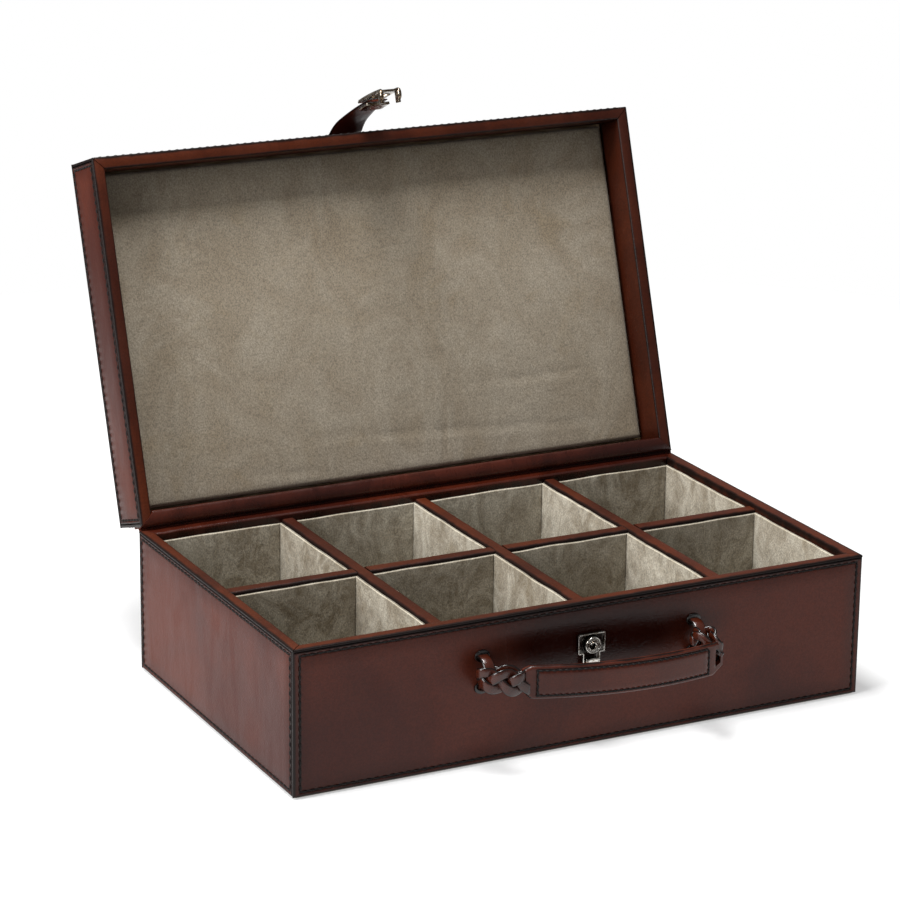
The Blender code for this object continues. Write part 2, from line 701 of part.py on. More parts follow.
lid_pivot.rotation_euler.x = -LID_OPEN_ANGLE
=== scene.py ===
"""Looks of a hand-stitched leather watch box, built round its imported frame.

Metres, in the frame's own axes. Pieces of the lid and the hasp are made where they are with the lid closed,
and open_lid then turns them to where the lid rests.
"""

import json
from math import cos, exp, pi, radians, sin, sqrt

import bmesh
import bpy
import numpy as np
from mathutils import Matrix, Vector, noise


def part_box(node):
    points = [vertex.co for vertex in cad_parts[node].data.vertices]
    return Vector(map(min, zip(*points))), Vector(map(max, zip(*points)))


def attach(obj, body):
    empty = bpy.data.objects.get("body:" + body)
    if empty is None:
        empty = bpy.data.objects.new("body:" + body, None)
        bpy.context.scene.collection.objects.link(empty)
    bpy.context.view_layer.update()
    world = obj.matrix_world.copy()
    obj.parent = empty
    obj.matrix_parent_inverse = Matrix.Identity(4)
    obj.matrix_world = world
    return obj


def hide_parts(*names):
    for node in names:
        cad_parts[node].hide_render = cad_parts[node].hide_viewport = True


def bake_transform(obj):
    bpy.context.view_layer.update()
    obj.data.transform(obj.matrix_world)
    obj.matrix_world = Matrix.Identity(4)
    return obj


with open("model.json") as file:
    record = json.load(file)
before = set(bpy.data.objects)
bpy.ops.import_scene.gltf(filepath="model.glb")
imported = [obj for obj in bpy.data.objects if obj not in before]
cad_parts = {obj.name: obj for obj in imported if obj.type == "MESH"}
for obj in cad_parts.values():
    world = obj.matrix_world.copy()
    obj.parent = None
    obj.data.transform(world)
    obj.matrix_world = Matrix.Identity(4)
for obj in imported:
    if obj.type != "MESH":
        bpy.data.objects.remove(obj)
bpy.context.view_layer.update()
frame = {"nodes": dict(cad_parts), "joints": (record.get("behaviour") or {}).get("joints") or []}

LID_OPEN_ANGLE = radians(108.24)
HINGE = Vector(next(j["pos_m"] for j in frame["joints"] if j["name"] == "lid_hinge"))
SWING = Vector(next(j["pos_m"] for j in frame["joints"] if j["name"] == "handle_swing"))
HALF_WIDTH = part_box("base_right_leather")[1].x
HALF_LID_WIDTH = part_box("lid_right_leather")[1].x

MM = 0.001
FAR_FROM_EDGE, SHADED_INSIDE_EDGE = 30.0, 1.15  # millimetres from an edge, for the leathers' and suedes' finish, the second as painted shade inside the base's rims
STITCH_INSET, LEAST_INSET = 0.004, 0.0024  # from the box's edges, and from a panel's own
STITCH_PITCH, STITCH_LENGTH, THREAD_WIDTH = 0.00485, 0.0039, 0.00105
GROOVE_DEPTH, GROOVE_WIDTH = 0.00050, 0.00065
WELT_HEIGHT, WELT_WIDTH = 0.00010, 0.0011  # the raised line between the groove and the edge
PANEL_ROUNDING = 0.0011
PANEL_OVERHANG = 0.0011  # of the base's panels over the side of the suede underneath

RIM_TURN_IN, RIM_FLANGE, RIM_CROWN = 0.001, 0.0012, 0.00025
RIM_DROP = 0.00018  # keeps the crowned rims of the closed box off each other
GUSSET_CROWN = 0.0009  # how far the gusset bulges between the two rims

GRIP_START, GRIP_END = -0.049, 0.067
GRIP_HEIGHT, GRIP_THICKNESS = 0.0192, 0.0048
GRIP_STAND_OFF, GRIP_BOW = 0.025, 0.008  # from the box's front at its ends, and how much more in its middle
GRIP_LEVEL, GRIP_FALL = 0.0539, 0.0055  # its height at its left end, and how far it falls to its right end
GRIP_INSET = 0.0023  # of its stitches
FLAP_LENGTH = 0.0074
LOOP_PLACE = 0.067  # of the handle's loops, on either side of the box's middle

HASP_ROOT = Vector((0, -0.1109, 0.1220))
HASP_LENGTH, HASP_PLATE_LENGTH, HASP_KEEPER_LENGTH = 0.0435, 0.0306, 0.012
HASP_ROOT_WIDTH, HASP_END_WIDTH, HASP_LEATHER = 0.022, 0.014, 0.0024
HASP_ANGLES = (37.6, 13.9, 8.9, 1.1)  # its lean off the closed lid's front, from its root to the plate's tip
HASP_BEND_AT = 0.4  # of its length, where it leans by the second angle

ROOM_LIGHT = 0.25
KEY_POWER, OVERHEAD_POWER = 60.0, 46.0
FLOOR_REACH, FLOOR_GLOW = 0.95, 0.46

open_lid = Matrix.Translation(HINGE) @ Matrix.Rotation(-LID_OPEN_ANGLE, 4, "X") @ Matrix.Translation(-HINGE)


# ---------------------------------------------------------------- materials


def new_material(name):
    made = bpy.data.materials.new(name)
    made.use_nodes = True
    return made, made.node_tree, made.node_tree.nodes["Principled BSDF"]


def feed(tree, node, inputs):
    """Sets a node's inputs, each from a value or from another node's socket."""
    for name, value in inputs.items():
        if isinstance(value, bpy.types.NodeSocket):
            tree.links.new(value, node.inputs[name])
        else:
            node.inputs[name].default_value = value


def add(tree, kind, inputs=None, **settings):
    made = tree.nodes.new(kind)
    for name, value in settings.items():
        setattr(made, name, value)
    feed(tree, made, inputs or {})
    return made


def fractal(tree, where, scale, detail=4.0, roughness=0.55, distortion=0.0):
    values = {"Vector": where, "Scale": scale, "Detail": detail, "Roughness": roughness}
    values["Distortion"] = distortion
    return add(tree, "ShaderNodeTexNoise", values).outputs["Fac"]


def spread(tree, value, low, high, to_low=0.0, to_high=1.0):
    """value between low and high, carried smoothly to between to_low and to_high."""
    inputs = {"Value": value, "From Min": low, "From Max": high, "To Min": to_low, "To Max": to_high}
    return add(tree, "ShaderNodeMapRange", inputs, interpolation_type="SMOOTHSTEP").outputs[0]


def maths(tree, operation, a, b=0.0):
    return add(tree, "ShaderNodeMath", {0: a, 1: b}, operation=operation).outputs[0]


def mix(tree, share, a, b, blend="MIX"):
    colours = [c if isinstance(c, bpy.types.NodeSocket) else (*c, 1) for c in (a, b)]
    inputs = {0: share, 6: colours[0], 7: colours[1]}
    return add(tree, "ShaderNodeMix", inputs, data_type="RGBA", blend_type=blend).outputs[2]


def mix_values(tree, share, a, b):
    return add(tree, "ShaderNodeMix", {0: share, 2: a, 3: b}, data_type="FLOAT").outputs[0]


def shaded(tree, colour, shade):
    """A colour times a value."""
    grey = add(tree, "ShaderNodeCombineColor", {0: shade, 1: shade, 2: shade}).outputs[0]
    return mix(tree, 1.0, colour, grey, "MULTIPLY")


def times(colour, *shares):
    """A plain colour, darker or lighter by one share or by a share for each channel."""
    return tuple(share * c for share, c in zip(shares * 3 if len(shares) == 1 else shares, colour))


def bump(tree, height, distance, strength=1.0, under=None):
    inputs = {"Height": height, "Distance": distance, "Strength": strength}
    if under is not None:
        inputs["Normal"] = under
    return add(tree, "ShaderNodeBump", inputs).outputs[0]


def place_of(tree, stretch=(1, 1, 1)):
    coordinates = add(tree, "ShaderNodeTexCoord").outputs["Object"]
    return add(tree, "ShaderNodeMapping", {"Vector": coordinates, "Scale": stretch}).outputs[0]


def edge_of(tree):
    """Distance in millimetres from the piece's nearest edge, which the mesh carries."""
    return add(tree, "ShaderNodeAttribute", attribute_name="edge").outputs["Fac"]


def handle_shade_patch(tree, where, cloud, middle, reach):
    """1 inside an oval patch round the handle, of painted shade and painted dark reflection, fading to 0
    outside its clouded border.
    """
    away = add(tree, "ShaderNodeVectorMath", {0: where, 1: middle}, operation="SUBTRACT").outputs[0]
    away = add(tree, "ShaderNodeVectorMath", {0: away, 1: reach}, operation="DIVIDE").outputs[0]
    away = add(tree, "ShaderNodeVectorMath", {0: away}, operation="LENGTH").outputs["Value"]
    away = maths(tree, "ADD", away, spread(tree, cloud, 0.3, 0.7, -0.15, 0.15))
    return spread(tree, away, 0.45, 1.25, 1.0, 0.0)


def leather(name, deep, warm, edge_colour, roughness=0.36, coat=0.04, burnish=(0.5, 2.0), patina=0.35,
            specular=0.20, handle_shade=None):
    """Hand-stained, polished leather: clouded dye, pores, fine creases and burnished edges.

    burnish is how far from an edge, in millimetres, its dark finish starts and stops fading. The last
    argument is the middle and the reach of a patch round the handle, darkened with painted shade and painted
    dark reflection and made glossier.
    """
    made, tree, shader = new_material(name)
    where = place_of(tree)
    cloud = fractal(tree, where, 9, 4, 0.55, 0.5)
    streak = fractal(tree, place_of(tree, (1, 1, 0.3)), 75, 4, 0.6, 0.8)
    speck = fractal(tree, where, 900, 2, 0.6)
    dye = maths(tree, "ADD", spread(tree, cloud, 0.3, 0.7), maths(tree, "MULTIPLY", streak, 0.45))
    colour = mix(tree, spread(tree, dye, 0.1, 1.35), deep, warm)
    colour = shaded(tree, colour, spread(tree, speck, 0.3, 0.7, 0.84, 1.12))
    ragged = maths(tree, "ADD", edge_of(tree), spread(tree, streak, 0.25, 0.75, -0.35, 0.35))
    halo = spread(tree, ragged, 1.5, 14.0, patina, 0.0)
    colour = mix(tree, halo, colour, times(deep, 0.5))
    rough = spread(tree, streak, 0.3, 0.75, roughness - 0.04, roughness + 0.07)
    # Painted shade and painted dark reflection: round the handle the front goes darker, as where the handle
    # hides the bright floor. Its roughness falls there too.
    if handle_shade:
        handle_shade_share = handle_shade_patch(tree, where, cloud, *handle_shade)
        colour = mix(tree, handle_shade_share, colour, times(deep, 0.36))
        rough = mix_values(tree, handle_shade_share, rough, 0.17)
    pores = add(tree, "ShaderNodeTexVoronoi", {"Vector": where, "Scale": 1500.0}, feature="SMOOTH_F1")
    grain = bump(tree, pores.outputs[0], 0.00010, 0.6)
    grain = bump(tree, fractal(tree, where, 420, 3, 0.65, 1.2), 0.00026, 0.45, grain)
    grain = bump(tree, fractal(tree, where, 55, 2, 0.5), 0.0006, 0.25, grain)
    feed(tree, shader, {
        "Base Color": mix(tree, spread(tree, ragged, *burnish), edge_colour, colour),
        "Roughness": rough,
        "Normal": grain,
        "Specular IOR Level": specular,
        "Coat Weight": coat,
        "Coat Roughness": 0.2,
    })
    return made


def suede(name, dark, light, pale_edge_and_highlight=0.0, nap=34.0, relief=0.0010, brushed=0.0):
    """Brushed suede: patches where the nap lies over, warm stains, short fibres and a matt sheen.

    The value after light is how pale its edges go, partly the suede's own cut edges and partly a painted
    highlight where light catches them; brushed is how far strokes of a hand change its tone.
    """
    made, tree, shader = new_material(name)
    where = place_of(tree)
    laid = place_of(tree, (1, 1, 0.7))
    patches = fractal(tree, laid, nap, 5, 0.66, 1.8)
    broad = fractal(tree, where, 9, 3, 0.5, 0.4)
    fibre = fractal(tree, laid, 1250, 3, 0.7)
    fine = fractal(tree, where, 2600, 2, 0.7)
    lying = spread(tree, patches, 0.32, 0.70, 0.0, 0.65)
    share = maths(tree, "ADD", lying, spread(tree, broad, 0.3, 0.7, 0.0, 0.35))
    if brushed:
        strokes = fractal(tree, place_of(tree, (1, 1, 0.8)), 62, 4, 0.6, 2.6)
        share = maths(tree, "ADD", share, spread(tree, strokes, 0.35, 0.65, -brushed, brushed))
    colour = mix(tree, share, dark, light)
    stain = spread(tree, fractal(tree, where, 24, 4, 0.62, 1.0), 0.52, 0.78, 0.0, 0.5)
    colour = mix(tree, stain, colour, times(dark, 1.0, 0.94, 0.80))
    grain = spread(tree, fibre, 0.28, 0.72, 0.66, 1.34)
    colour = shaded(tree, colour, maths(tree, "MULTIPLY", grain, spread(tree, fine, 0.2, 0.8, 0.86, 1.12)))
    # Painted highlight, partly the cut edge's own paler tone: the suede goes paler near its edges.
    if pale_edge_and_highlight:
        rim = spread(tree, edge_of(tree), 0.0, 0.7, pale_edge_and_highlight, 0.0)
        colour = mix(tree, rim, colour, times(light, 1.8))
    nap_bump = bump(tree, fibre, 0.00035, 0.5)
    nap_bump = bump(tree, fine, 0.00012, 0.5, nap_bump)
    nap_bump = bump(tree, patches, relief, 0.5, nap_bump)
    feed(tree, shader, {
        "Base Color": colour,
        "Roughness": 0.92,
        "Normal": nap_bump,
        "Specular IOR Level": 0.15,
        "Sheen Weight": 0.12,
        "Sheen Roughness": 0.5,
    })
    return made


def nickel(name, colour, roughness, tarnished=0.48):
    """Polished nickel plate with fine scratches and brown tarnish. More tarnishes as tarnished falls."""
    made, tree, shader = new_material(name)
    tarnish = fractal(tree, place_of(tree), 330, 4, 0.6, 0.8)
    scratch = fractal(tree, place_of(tree, (0.2, 1, 1)), 5200, 3, 0.7)
    dulled = spread(tree, tarnish, tarnished, tarnished + 0.16)
    feed(tree, shader, {
        "Base Color": mix(tree, dulled, colour, times(colour, 0.26, 0.19, 0.13)),
        "Roughness": spread(tree, tarnish, 0.3, 0.8, roughness - 0.04, roughness + 0.12),
        "Normal": bump(tree, scratch, 0.00002, 0.35),
        "Metallic": 1.0,
    })
    return made


def waxed_thread(name):
    made, tree, shader = new_material(name)
    where = place_of(tree)
    twist = {"Vector": where, "Scale": 900.0, "Distortion": 2.0}
    twist = add(tree, "ShaderNodeTexWave", twist, bands_direction="DIAGONAL").outputs["Fac"]
    fuzz = fractal(tree, where, 1800, 3, 0.6)
    feed(tree, shader, {
        "Base Color": mix(tree, fuzz, (0.003, 0.0025, 0.0025), (0.010, 0.007, 0.006)),
        "Roughness": 0.6,
        "Normal": bump(tree, twist, 0.0001, 0.6),
        "Specular IOR Level": 0.15,
    })
    return made


def board(name):
    """Plain lime board under the leather."""
    made, tree, shader = new_material(name)
    rings = {"Vector": place_of(tree, (1, 1, 6)), "Scale": 12.0, "Distortion": 6.0, "Detail": 3.0}
    rings = add(tree, "ShaderNodeTexWave", rings).outputs["Fac"]
    fibre = fractal(tree, place_of(tree, (0.1, 1, 1)), 900, 3)
    colour = mix(tree, rings, (0.30, 0.20, 0.11), (0.44, 0.32, 0.20))
    feed(tree, shader, {
        "Base Color": mix(tree, spread(tree, fibre, 0.4, 0.8, 0, 0.4), colour, (0.22, 0.14, 0.08)),
        "Roughness": 0.7,
        "Normal": bump(tree, fibre, 0.0001, 0.4),
    })
    return made


PANEL = leather("panel_leather", (0.037, 0.0060, 0.0028), (0.072, 0.0140, 0.0062), (0.004, 0.0014, 0.0009),
                roughness=0.40, coat=0.0, specular=0.11)
# front_leather carries the painted shade and dark reflection round the handle.
FRONT = leather("front_leather", (0.037, 0.0058, 0.0026), (0.070, 0.0134, 0.0060), (0.004, 0.0014, 0.0009),
                specular=0.17, handle_shade=((0.012, -0.1084, 0.0640), (0.082, 1.0, 0.024)))
RIM = leather("rim_leather", (0.023, 0.0036, 0.0010), (0.055, 0.0100, 0.0022), (0.0040, 0.0010, 0.0005),
              roughness=0.44, coat=0.0, burnish=(0.6, 2.0), patina=0.1, specular=0.18)
GUSSET = leather("gusset_leather", (0.016, 0.0020, 0.0008), (0.042, 0.0064, 0.0022), (0.0035, 0.001, 0.0006),
                 roughness=0.28, coat=0.12, burnish=(0.5, 1.7), patina=0.1, specular=0.28)
STRAP = leather("strap_leather", (0.036, 0.0062, 0.0030), (0.074, 0.0150, 0.0072), (0.005, 0.0020, 0.0014),
                roughness=0.32, coat=0.08, burnish=(0.3, 1.2), patina=0.15)
# plait_leather's wide burnish darkens the strands' sides: dark cut edges, and painted shade in the plait's
# crevices.
PLAIT = leather("plait_leather", (0.006, 0.0011, 0.0007), (0.044, 0.0076, 0.0026), (0.002, 0.0008, 0.0006),
                roughness=0.24, coat=0.22, burnish=(0.9, 3.6), patina=0.0, specular=0.35)
LID_SUEDE = suede("lid_suede", (0.148, 0.118, 0.082), (0.212, 0.184, 0.142), pale_edge_and_highlight=0.22, nap=17.0)
LINER_SUEDE = suede("liner_suede", (0.150, 0.120, 0.080), (0.362, 0.330, 0.266), pale_edge_and_highlight=0.26, nap=48.0,
                    relief=0.0013, brushed=0.11)
FELT = suede("underside_suede", (0.20, 0.17, 0.13), (0.27, 0.24, 0.19), nap=60.0)
NICKEL = nickel("nickel_plate", (0.62, 0.60, 0.56), 0.13)
HASP_NICKEL = nickel("worn_nickel", (0.46, 0.41, 0.34), 0.15, 0.40)
DARK_NICKEL = nickel("darkened_nickel", (0.075, 0.070, 0.064), 0.24)
THREAD = waxed_thread("waxed_thread")
BOARD = board("board_wood")


# ---------------------------------------------------------------- meshes


def mesh_of(name, points, faces, edge=None):
    """A mesh, with each point's distance from its piece's edge in millimetres where that is given."""
    mesh = bpy.data.meshes.new(name)
    mesh.from_pydata([tuple(p) for p in points], [], [tuple(f) for f in faces])
    bm = bmesh.new()
    bm.from_mesh(mesh)
    bm.normal_update()
    bmesh.ops.recalc_face_normals(bm, faces=bm.faces)
    bm.to_mesh(mesh)
    bm.free()
    carried = mesh.attributes.new("edge", "FLOAT", "POINT")
    distances = np.full(len(mesh.vertices), FAR_FROM_EDGE) if edge is None else np.asarray(edge, float)
    carried.data.foreach_set("value", distances.astype(np.float32))
    mesh.shade_smooth()
    mesh.set_sharp_from_angle(angle=radians(50))
    return mesh


def joined(name, meshes):
    """Several (points, faces, edge) shapes as one mesh."""
    points, faces, edge = [], [], []
    for some_points, some_faces, some_edge in meshes:
        start = len(points)
        points += [tuple(p) for p in some_points]
        faces += [tuple(start + i for i in face) for face in some_faces]
        edge += list(some_edge)
    return mesh_of(name, points, faces, edge)


def linked(name, data):
    """A new object in the scene."""
    obj = bpy.data.objects.new(name, data)
    bpy.context.scene.collection.objects.link(obj)
    return obj


def piece(name, mesh, material, body, slot, *nodes, ride=True):
    """A finished object on a CAD body. The lid's and the hasp's pieces come here with the lid closed."""
    if body in ("lid", "hasp") and ride:
        mesh.transform(open_lid)
    obj = linked(name, mesh)
    mesh.materials.append(material)
    if ride:
        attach(obj, body)
    if nodes:
        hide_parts(*nodes)
    return obj


def closed_box(node):
    """Lowest and highest corner of a lid's node, with the lid closed."""
    back = open_lid.inverted()
    corners = np.array([back @ v.co for v in frame["nodes"][node].data.vertices])
    return Vector(corners.min(0)), Vector(corners.max(0))


def edge_lines(length, start, end, step, rounding):
    """Grid lines across a panel: close together at both rounded edges and at the grooves, then step apart.

    start and end are the grooves' distances from the two edges.
    """
    rounded = [rounding * (1 - cos(pi / 2 * i / 4)) for i in range(5)]
    near = [k * GROOVE_WIDTH for k in (-2.8, -1.9, -1.1, -0.5, 0, 0.5, 1.1, 1.9)]
    first = [*rounded, *(start + k for k in near if start + k > rounding)]
    last = [length - d for d in (*rounded, *(end + k for k in near if end + k > rounding))]
    low, high = max(first), min(last)
    count = max(2, round((high - low) / step))
    middle = np.linspace(low, high, count + 1)
    return np.unique(np.round(np.concatenate([first, middle, last]), 7))


def panel_shape(width, height, thickness, grooves=(0, 0, 0, 0), step=0.008, rounding=PANEL_ROUNDING,
                crown=0.0, wobble=0.00010, grain=30.0, seed=0.0, relief=None):
    """A sheet of leather or padded card, in its own axes: its face at w = 0 and its back at w = -thickness.

    grooves are the stitch grooves' distances from the left, right, bottom and top edges.
    """
    left, right, bottom, top = grooves
    us = edge_lines(width, left, right, step, rounding)
    vs = edge_lines(height, bottom, top, step, rounding)
    points, edge = [], []
    for v in vs:
        for u in us:
            d = min(u, width - u, v, height - v)
            w = 0.0
            if d < rounding:
                w -= rounding - sqrt(max(0.0, rounding ** 2 - (rounding - d) ** 2))
            burnished = d
            if left:
                g = min(u - left, width - right - u, v - bottom, height - top - v)
                w -= GROOVE_DEPTH * exp(-((g / GROOVE_WIDTH) ** 2))
                w += WELT_HEIGHT * exp(-(((g + 0.0018) / WELT_WIDTH) ** 2))
                burnished = min(d, 0.0005 + 1.3 * abs(g))
            inside = min(1.0, d / 0.006)
            w += crown * (1 - (2 * u / width - 1) ** 2) ** 0.5 * (1 - (2 * v / height - 1) ** 2) ** 0.5
            w += inside * wobble * noise.fractal(Vector((u * grain, v * grain, seed)), 1.0, 2.0, 3)
            if relief:
                w += relief(u, v) * inside
            points.append((u, v, w))
            edge.append(burnished / MM)
    columns, rows = len(us), len(vs)
    faces = [
        (r * columns + c, r * columns + c + 1, (r + 1) * columns + c + 1, (r + 1) * columns + c)
        for r in range(rows - 1)
        for c in range(columns - 1)
    ]
    border = [*range(columns)]
    border += [r * columns + columns - 1 for r in range(1, rows)]
    border += [(rows - 1) * columns + c for c in reversed(range(columns - 1))]
    border += [r * columns for r in reversed(range(1, rows - 1))]
    start = len(points)
    points += [(points[i][0], points[i][1], -thickness) for i in border]
    edge += [0.0] * len(border)
    count = len(border)
    faces += [(border[i], start + i, start + (i + 1) % count, border[(i + 1) % count]) for i in range(count)]
    faces.append(tuple(range(start, start + count)))
    return points, faces, edge


def facing(low, high, out):
    """Matrix from a panel's own axes to a box's face that looks along out, and the box's size in them."""
    out = Vector(out)
    if abs(out.z) > 0.5:
        u = Vector((1, 0, 0))
    else:
        u = Vector((0, 0, 1)).cross(out).normalized()
    v = out.cross(u)
    corner = Vector()
    for i in range(3):
        corner[i] = high[i] if (u[i] + v[i] < -0.5 or out[i] > 0.5) else low[i]
    size = high - low
    matrix = Matrix((u, v, out)).transposed().to_4x4()
    matrix.translation = corner
    return matrix, abs(u.dot(size)), abs(v.dot(size)), abs(out.dot(size))


def placed(shape, matrix):
    points, faces, edge = shape
    return [matrix @ Vector(p) for p in points], faces, edge


def circle(sides, wide=1.0, tall=1.0):
    """Points on a circle or an ellipse round (0, 0)."""
    turns = [2 * pi * k / sides for k in range(sides)]
    return [(wide * cos(turn), tall * sin(turn)) for turn in turns]


def grain_of_rice(length, width, height):
    """One stitch: a thread that arches out of one hole and into the next, slightly slanted."""
    points, faces = [], []
    rings, sides = 7, 8
    for i in range(rings):
        along = 2 * i / (rings - 1) - 1
        lift = 0.55 * height * (1 - along ** 2) - 0.45 * height * along ** 4
        size = sqrt(max(0.05, 1 - along ** 4 * 0.85))
        for across, up in circle(sides, width / 2 * size, height / 2 * size):
            points.append((along * length / 2, across + 0.10 * width * along, lift + up))
    for i in range(rings - 1):
        for k in range(sides):
            near, far = i * sides + k, i * sides + (k + 1) % sides
            faces.append((near, far, far + sides, near + sides))
    faces += [tuple(range(sides)), tuple(range((rings - 1) * sides, rings * sides))]
    return np.array(points), faces


def hole_mark(radius):
    """The awl's mark between two stitches: a small dark knob with its point in the leather."""
    sides = 8
    points = [(x, y, 0) for x, y in circle(sides, radius, 0.8 * radius)]
    points += [(0, 0, 0.00012), (0, 0, -0.0004)]
    faces = [(k, (k + 1) % sides, sides) for k in range(sides)]
    faces += [((k + 1) % sides, k, sides + 1) for k in range(sides)]
    return np.array(points), faces


class Stitching:
    """Gathers the stitches that ride on one body into one mesh."""

    def __init__(self, length=STITCH_LENGTH, width=THREAD_WIDTH, pitch=STITCH_PITCH):
        self.stitch = grain_of_rice(length, width, width * 0.8)
        self.mark = hole_mark(width * 0.95)
        self.pitch = pitch
        self.shapes = []

    def put(self, shape, place, along, out):
        across = out.cross(along)
        turn = np.array((along, across, out))
        points = shape[0] @ turn + np.array(place)
        self.shapes.append((points, shape[1], [FAR_FROM_EDGE] * len(points)))

    def run(self, start, end, out):
        """Evenly spaced stitches from start to end on a face that looks along out."""
        start, end, out = Vector(start), Vector(end), Vector(out).normalized()
        along = (end - start).normalized()
        count = max(1, round((end - start).length / self.pitch))
        for i in range(count):
            middle = start + (end - start) * (i + 0.5) / count
            wander = 0.00010 * noise.noise(middle * 700) * out.cross(along)
            self.put(self.stitch, middle + wander, along, out)
            self.put(self.mark, start + (end - start) * i / count + 0.00005 * out, along, out)

    def border(self, matrix, width, height, grooves):
        """A rectangle of stitches in a panel's groove."""
        left, right, bottom, top = grooves
        sunk = -GROOVE_DEPTH + 0.00018
        far, high = width - right, height - top
        corners = [(left, bottom), (far, bottom), (far, high), (left, high)]
        corners = [matrix @ Vector((u, v, sunk)) for u, v in corners]
        out = matrix.to_3x3() @ Vector((0, 0, 1))
        for start, end in zip(corners, corners[1:] + corners[:1]):
            self.run(start, end, out)

    def finish(self, name, body, slot):
        return piece(name, joined(name, self.shapes), THREAD, body, slot)


def loft(rings, edge=None, closed=True, caps=True):
    """A skin over rings of points, all of one length. edge has one ring's distances or every ring's."""
    points, faces = [], []
    size = len(rings[0])
    if edge is None:
        edge = [FAR_FROM_EDGE] * size
    distances = list(edge) if len(edge) > size else list(edge) * len(rings)
    for ring in rings:
        points += list(ring)
    last = size if closed else size - 1
    for r in range(len(rings) - 1):
        for k in range(last):
            a, b = r * size + k, r * size + (k + 1) % size
            faces.append((a, b, b + size, a + size))
    if caps and closed:
        faces.append(tuple(range(size)))
        faces.append(tuple(range((len(rings) - 1) * size, len(rings) * size)))
    return points, faces, distances


def arc(centre, radius, start, end, count):
    """Points on an arc in the plane, from angle start to end in degrees."""
    angles = [radians(start + (end - start) * i / count) for i in range(count + 1)]
    return [(centre[0] + radius * cos(a), centre[1] + radius * sin(a)) for a in angles]


def rounded_section(width, height, radius, steps=4):
    """A rectangle round (0, 0) with round corners, as points anticlockwise."""
    x, y = width / 2 - radius, height / 2 - radius
    quarters = (((x, y), 0), ((-x, y), 90), ((-x, -y), 180), ((x, -y), 270))
    return [p for centre, turn in quarters for p in arc(centre, radius, turn, turn + 90, steps)]


def smooth_path(points, count):
    """count + 1 evenly spaced points on a smooth curve through these."""
    points = [Vector(p) for p in points]
    ends = [2 * points[0] - points[1], *points, 2 * points[-1] - points[-2]]
    fine = []
    for a, b, c, d in zip(ends, ends[1:], ends[2:], ends[3:]):
        for i in range(24):
            t = i / 24
            square = (2 * a - 5 * b + 4 * c - d) * t * t
            cube = (3 * b - a - 3 * c + d) * t ** 3
            fine.append((2 * b + (c - a) * t + square + cube) / 2)
    fine.append(points[-1])
    reach = np.concatenate([[0], np.cumsum([(q - p).length for p, q in zip(fine, fine[1:])])])
    wanted = np.linspace(0, reach[-1], count + 1)
    coordinates = np.array(fine)
    return [Vector([np.interp(s, reach, coordinates[:, i]) for i in range(3)]) for s in wanted]


def tangent_at(path, i):
    return (path[min(i + 1, len(path) - 1)] - path[max(i - 1, 0)]).normalized()


def strand(path, across, width, thickness, edge_soft=0.8, ends=1.0):
    """A leather thong or a metal rail along path, with its flat side across.

    edge_soft squares off its sides as it falls below 1, and ends is how wide its two ends stay.
    """
    rings = []
    section = circle(12)
    for i, point in enumerate(path):
        tangent = tangent_at(path, i)
        side = Vector(across)
        side = (side - side.dot(tangent) * tangent).normalized()
        up = tangent.cross(side)
        share = i / (len(path) - 1)
        size = 1 - (1 - ends) * abs(2 * share - 1) ** 6
        ring = []
        for a, b in section:
            a = abs(a) ** edge_soft * (1 if a > 0 else -1)
            ring.append(point + side * a * width / 2 * size + up * b * thickness / 2 * size)
        rings.append(ring)
    # Edge 0 at the sides' edges: on leather that is the burnished dark edge, partly the cut edges' own
    # colour and partly painted shade between plaited strands.
    return loft(rings, [5.0 * (1 - abs(a)) ** 0.8 for a, b in section])


# ---------------------------------------------------------------- walls


def outer_panels(prefix, body, pull):
    """The stitched panels of the base or the lid. pull(node) gives a node's box with the lid closed."""
    stitches = Stitching()
    sides = {"front": (0, -1, 0), "back": (0, 1, 0), "left": (-1, 0, 0), "right": (1, 0, 0)}
    low_all, high_all = pull(f"{prefix}_rim_left")
    outline_low = Vector((low_all.x, low_all.y, low_all.z if prefix == "lid" else 0.0))
    outline_high = Vector((-low_all.x, -low_all.y, high_all.z))
    if prefix == "lid":
        sides["top"] = (0, 0, 1)
        outline_high.z = pull("lid_top_leather")[1].z
    for index, (side, out) in enumerate(sides.items()):
        node = f"{prefix}_{side}_leather"
        low, high = pull(node)
        if prefix == "base":
            low.z -= PANEL_OVERHANG
        matrix, width, height, thickness = facing(low, high, out)
        inverse = matrix.inverted()
        a, b = inverse @ outline_low, inverse @ outline_high
        left, right = min(a.x, b.x), max(a.x, b.x)
        bottom, top = min(a.y, b.y), max(a.y, b.y)
        grooves = (
            left + STITCH_INSET,
            width - (right - STITCH_INSET),
            max(bottom + STITCH_INSET, LEAST_INSET),
            height - (top - STITCH_INSET),
        )
        shape = panel_shape(width, height, thickness, grooves, seed=index + len(prefix))
        material = FRONT if node == "base_front_leather" else PANEL
        piece(f"{node}_skin", joined(node, [placed(shape, matrix)]), material, body, "leather_panel", node)
        stitches.border(matrix, width, height, grooves)
    stitches.finish(f"{prefix}_stitches", body, "leather_panel")


def rim_ring(width, depth):
    """A rim strip's section as (inward, height) points: a crowned top, round edges and a turned-in side."""
    outer = arc((0.0007, -0.0007), 0.0007, 180, 90, 4)
    crown = [(0.0007 + (width - 0.0019) * t, RIM_CROWN * sin(pi * t)) for t in (0.25, 0.5, 0.75)]
    inner = arc((width - 0.0012, -0.0012), 0.0012, 90, 0, 5)
    down = [(width, -depth * t) for t in (0.4, 0.7)]
    hem = arc((width - RIM_TURN_IN / 2, -depth + RIM_TURN_IN / 2), RIM_TURN_IN / 2, 0, -180, 4)
    under = [(width - RIM_TURN_IN, -RIM_FLANGE), (0, -RIM_FLANGE)]
    return outer + crown + inner + down + hem + under


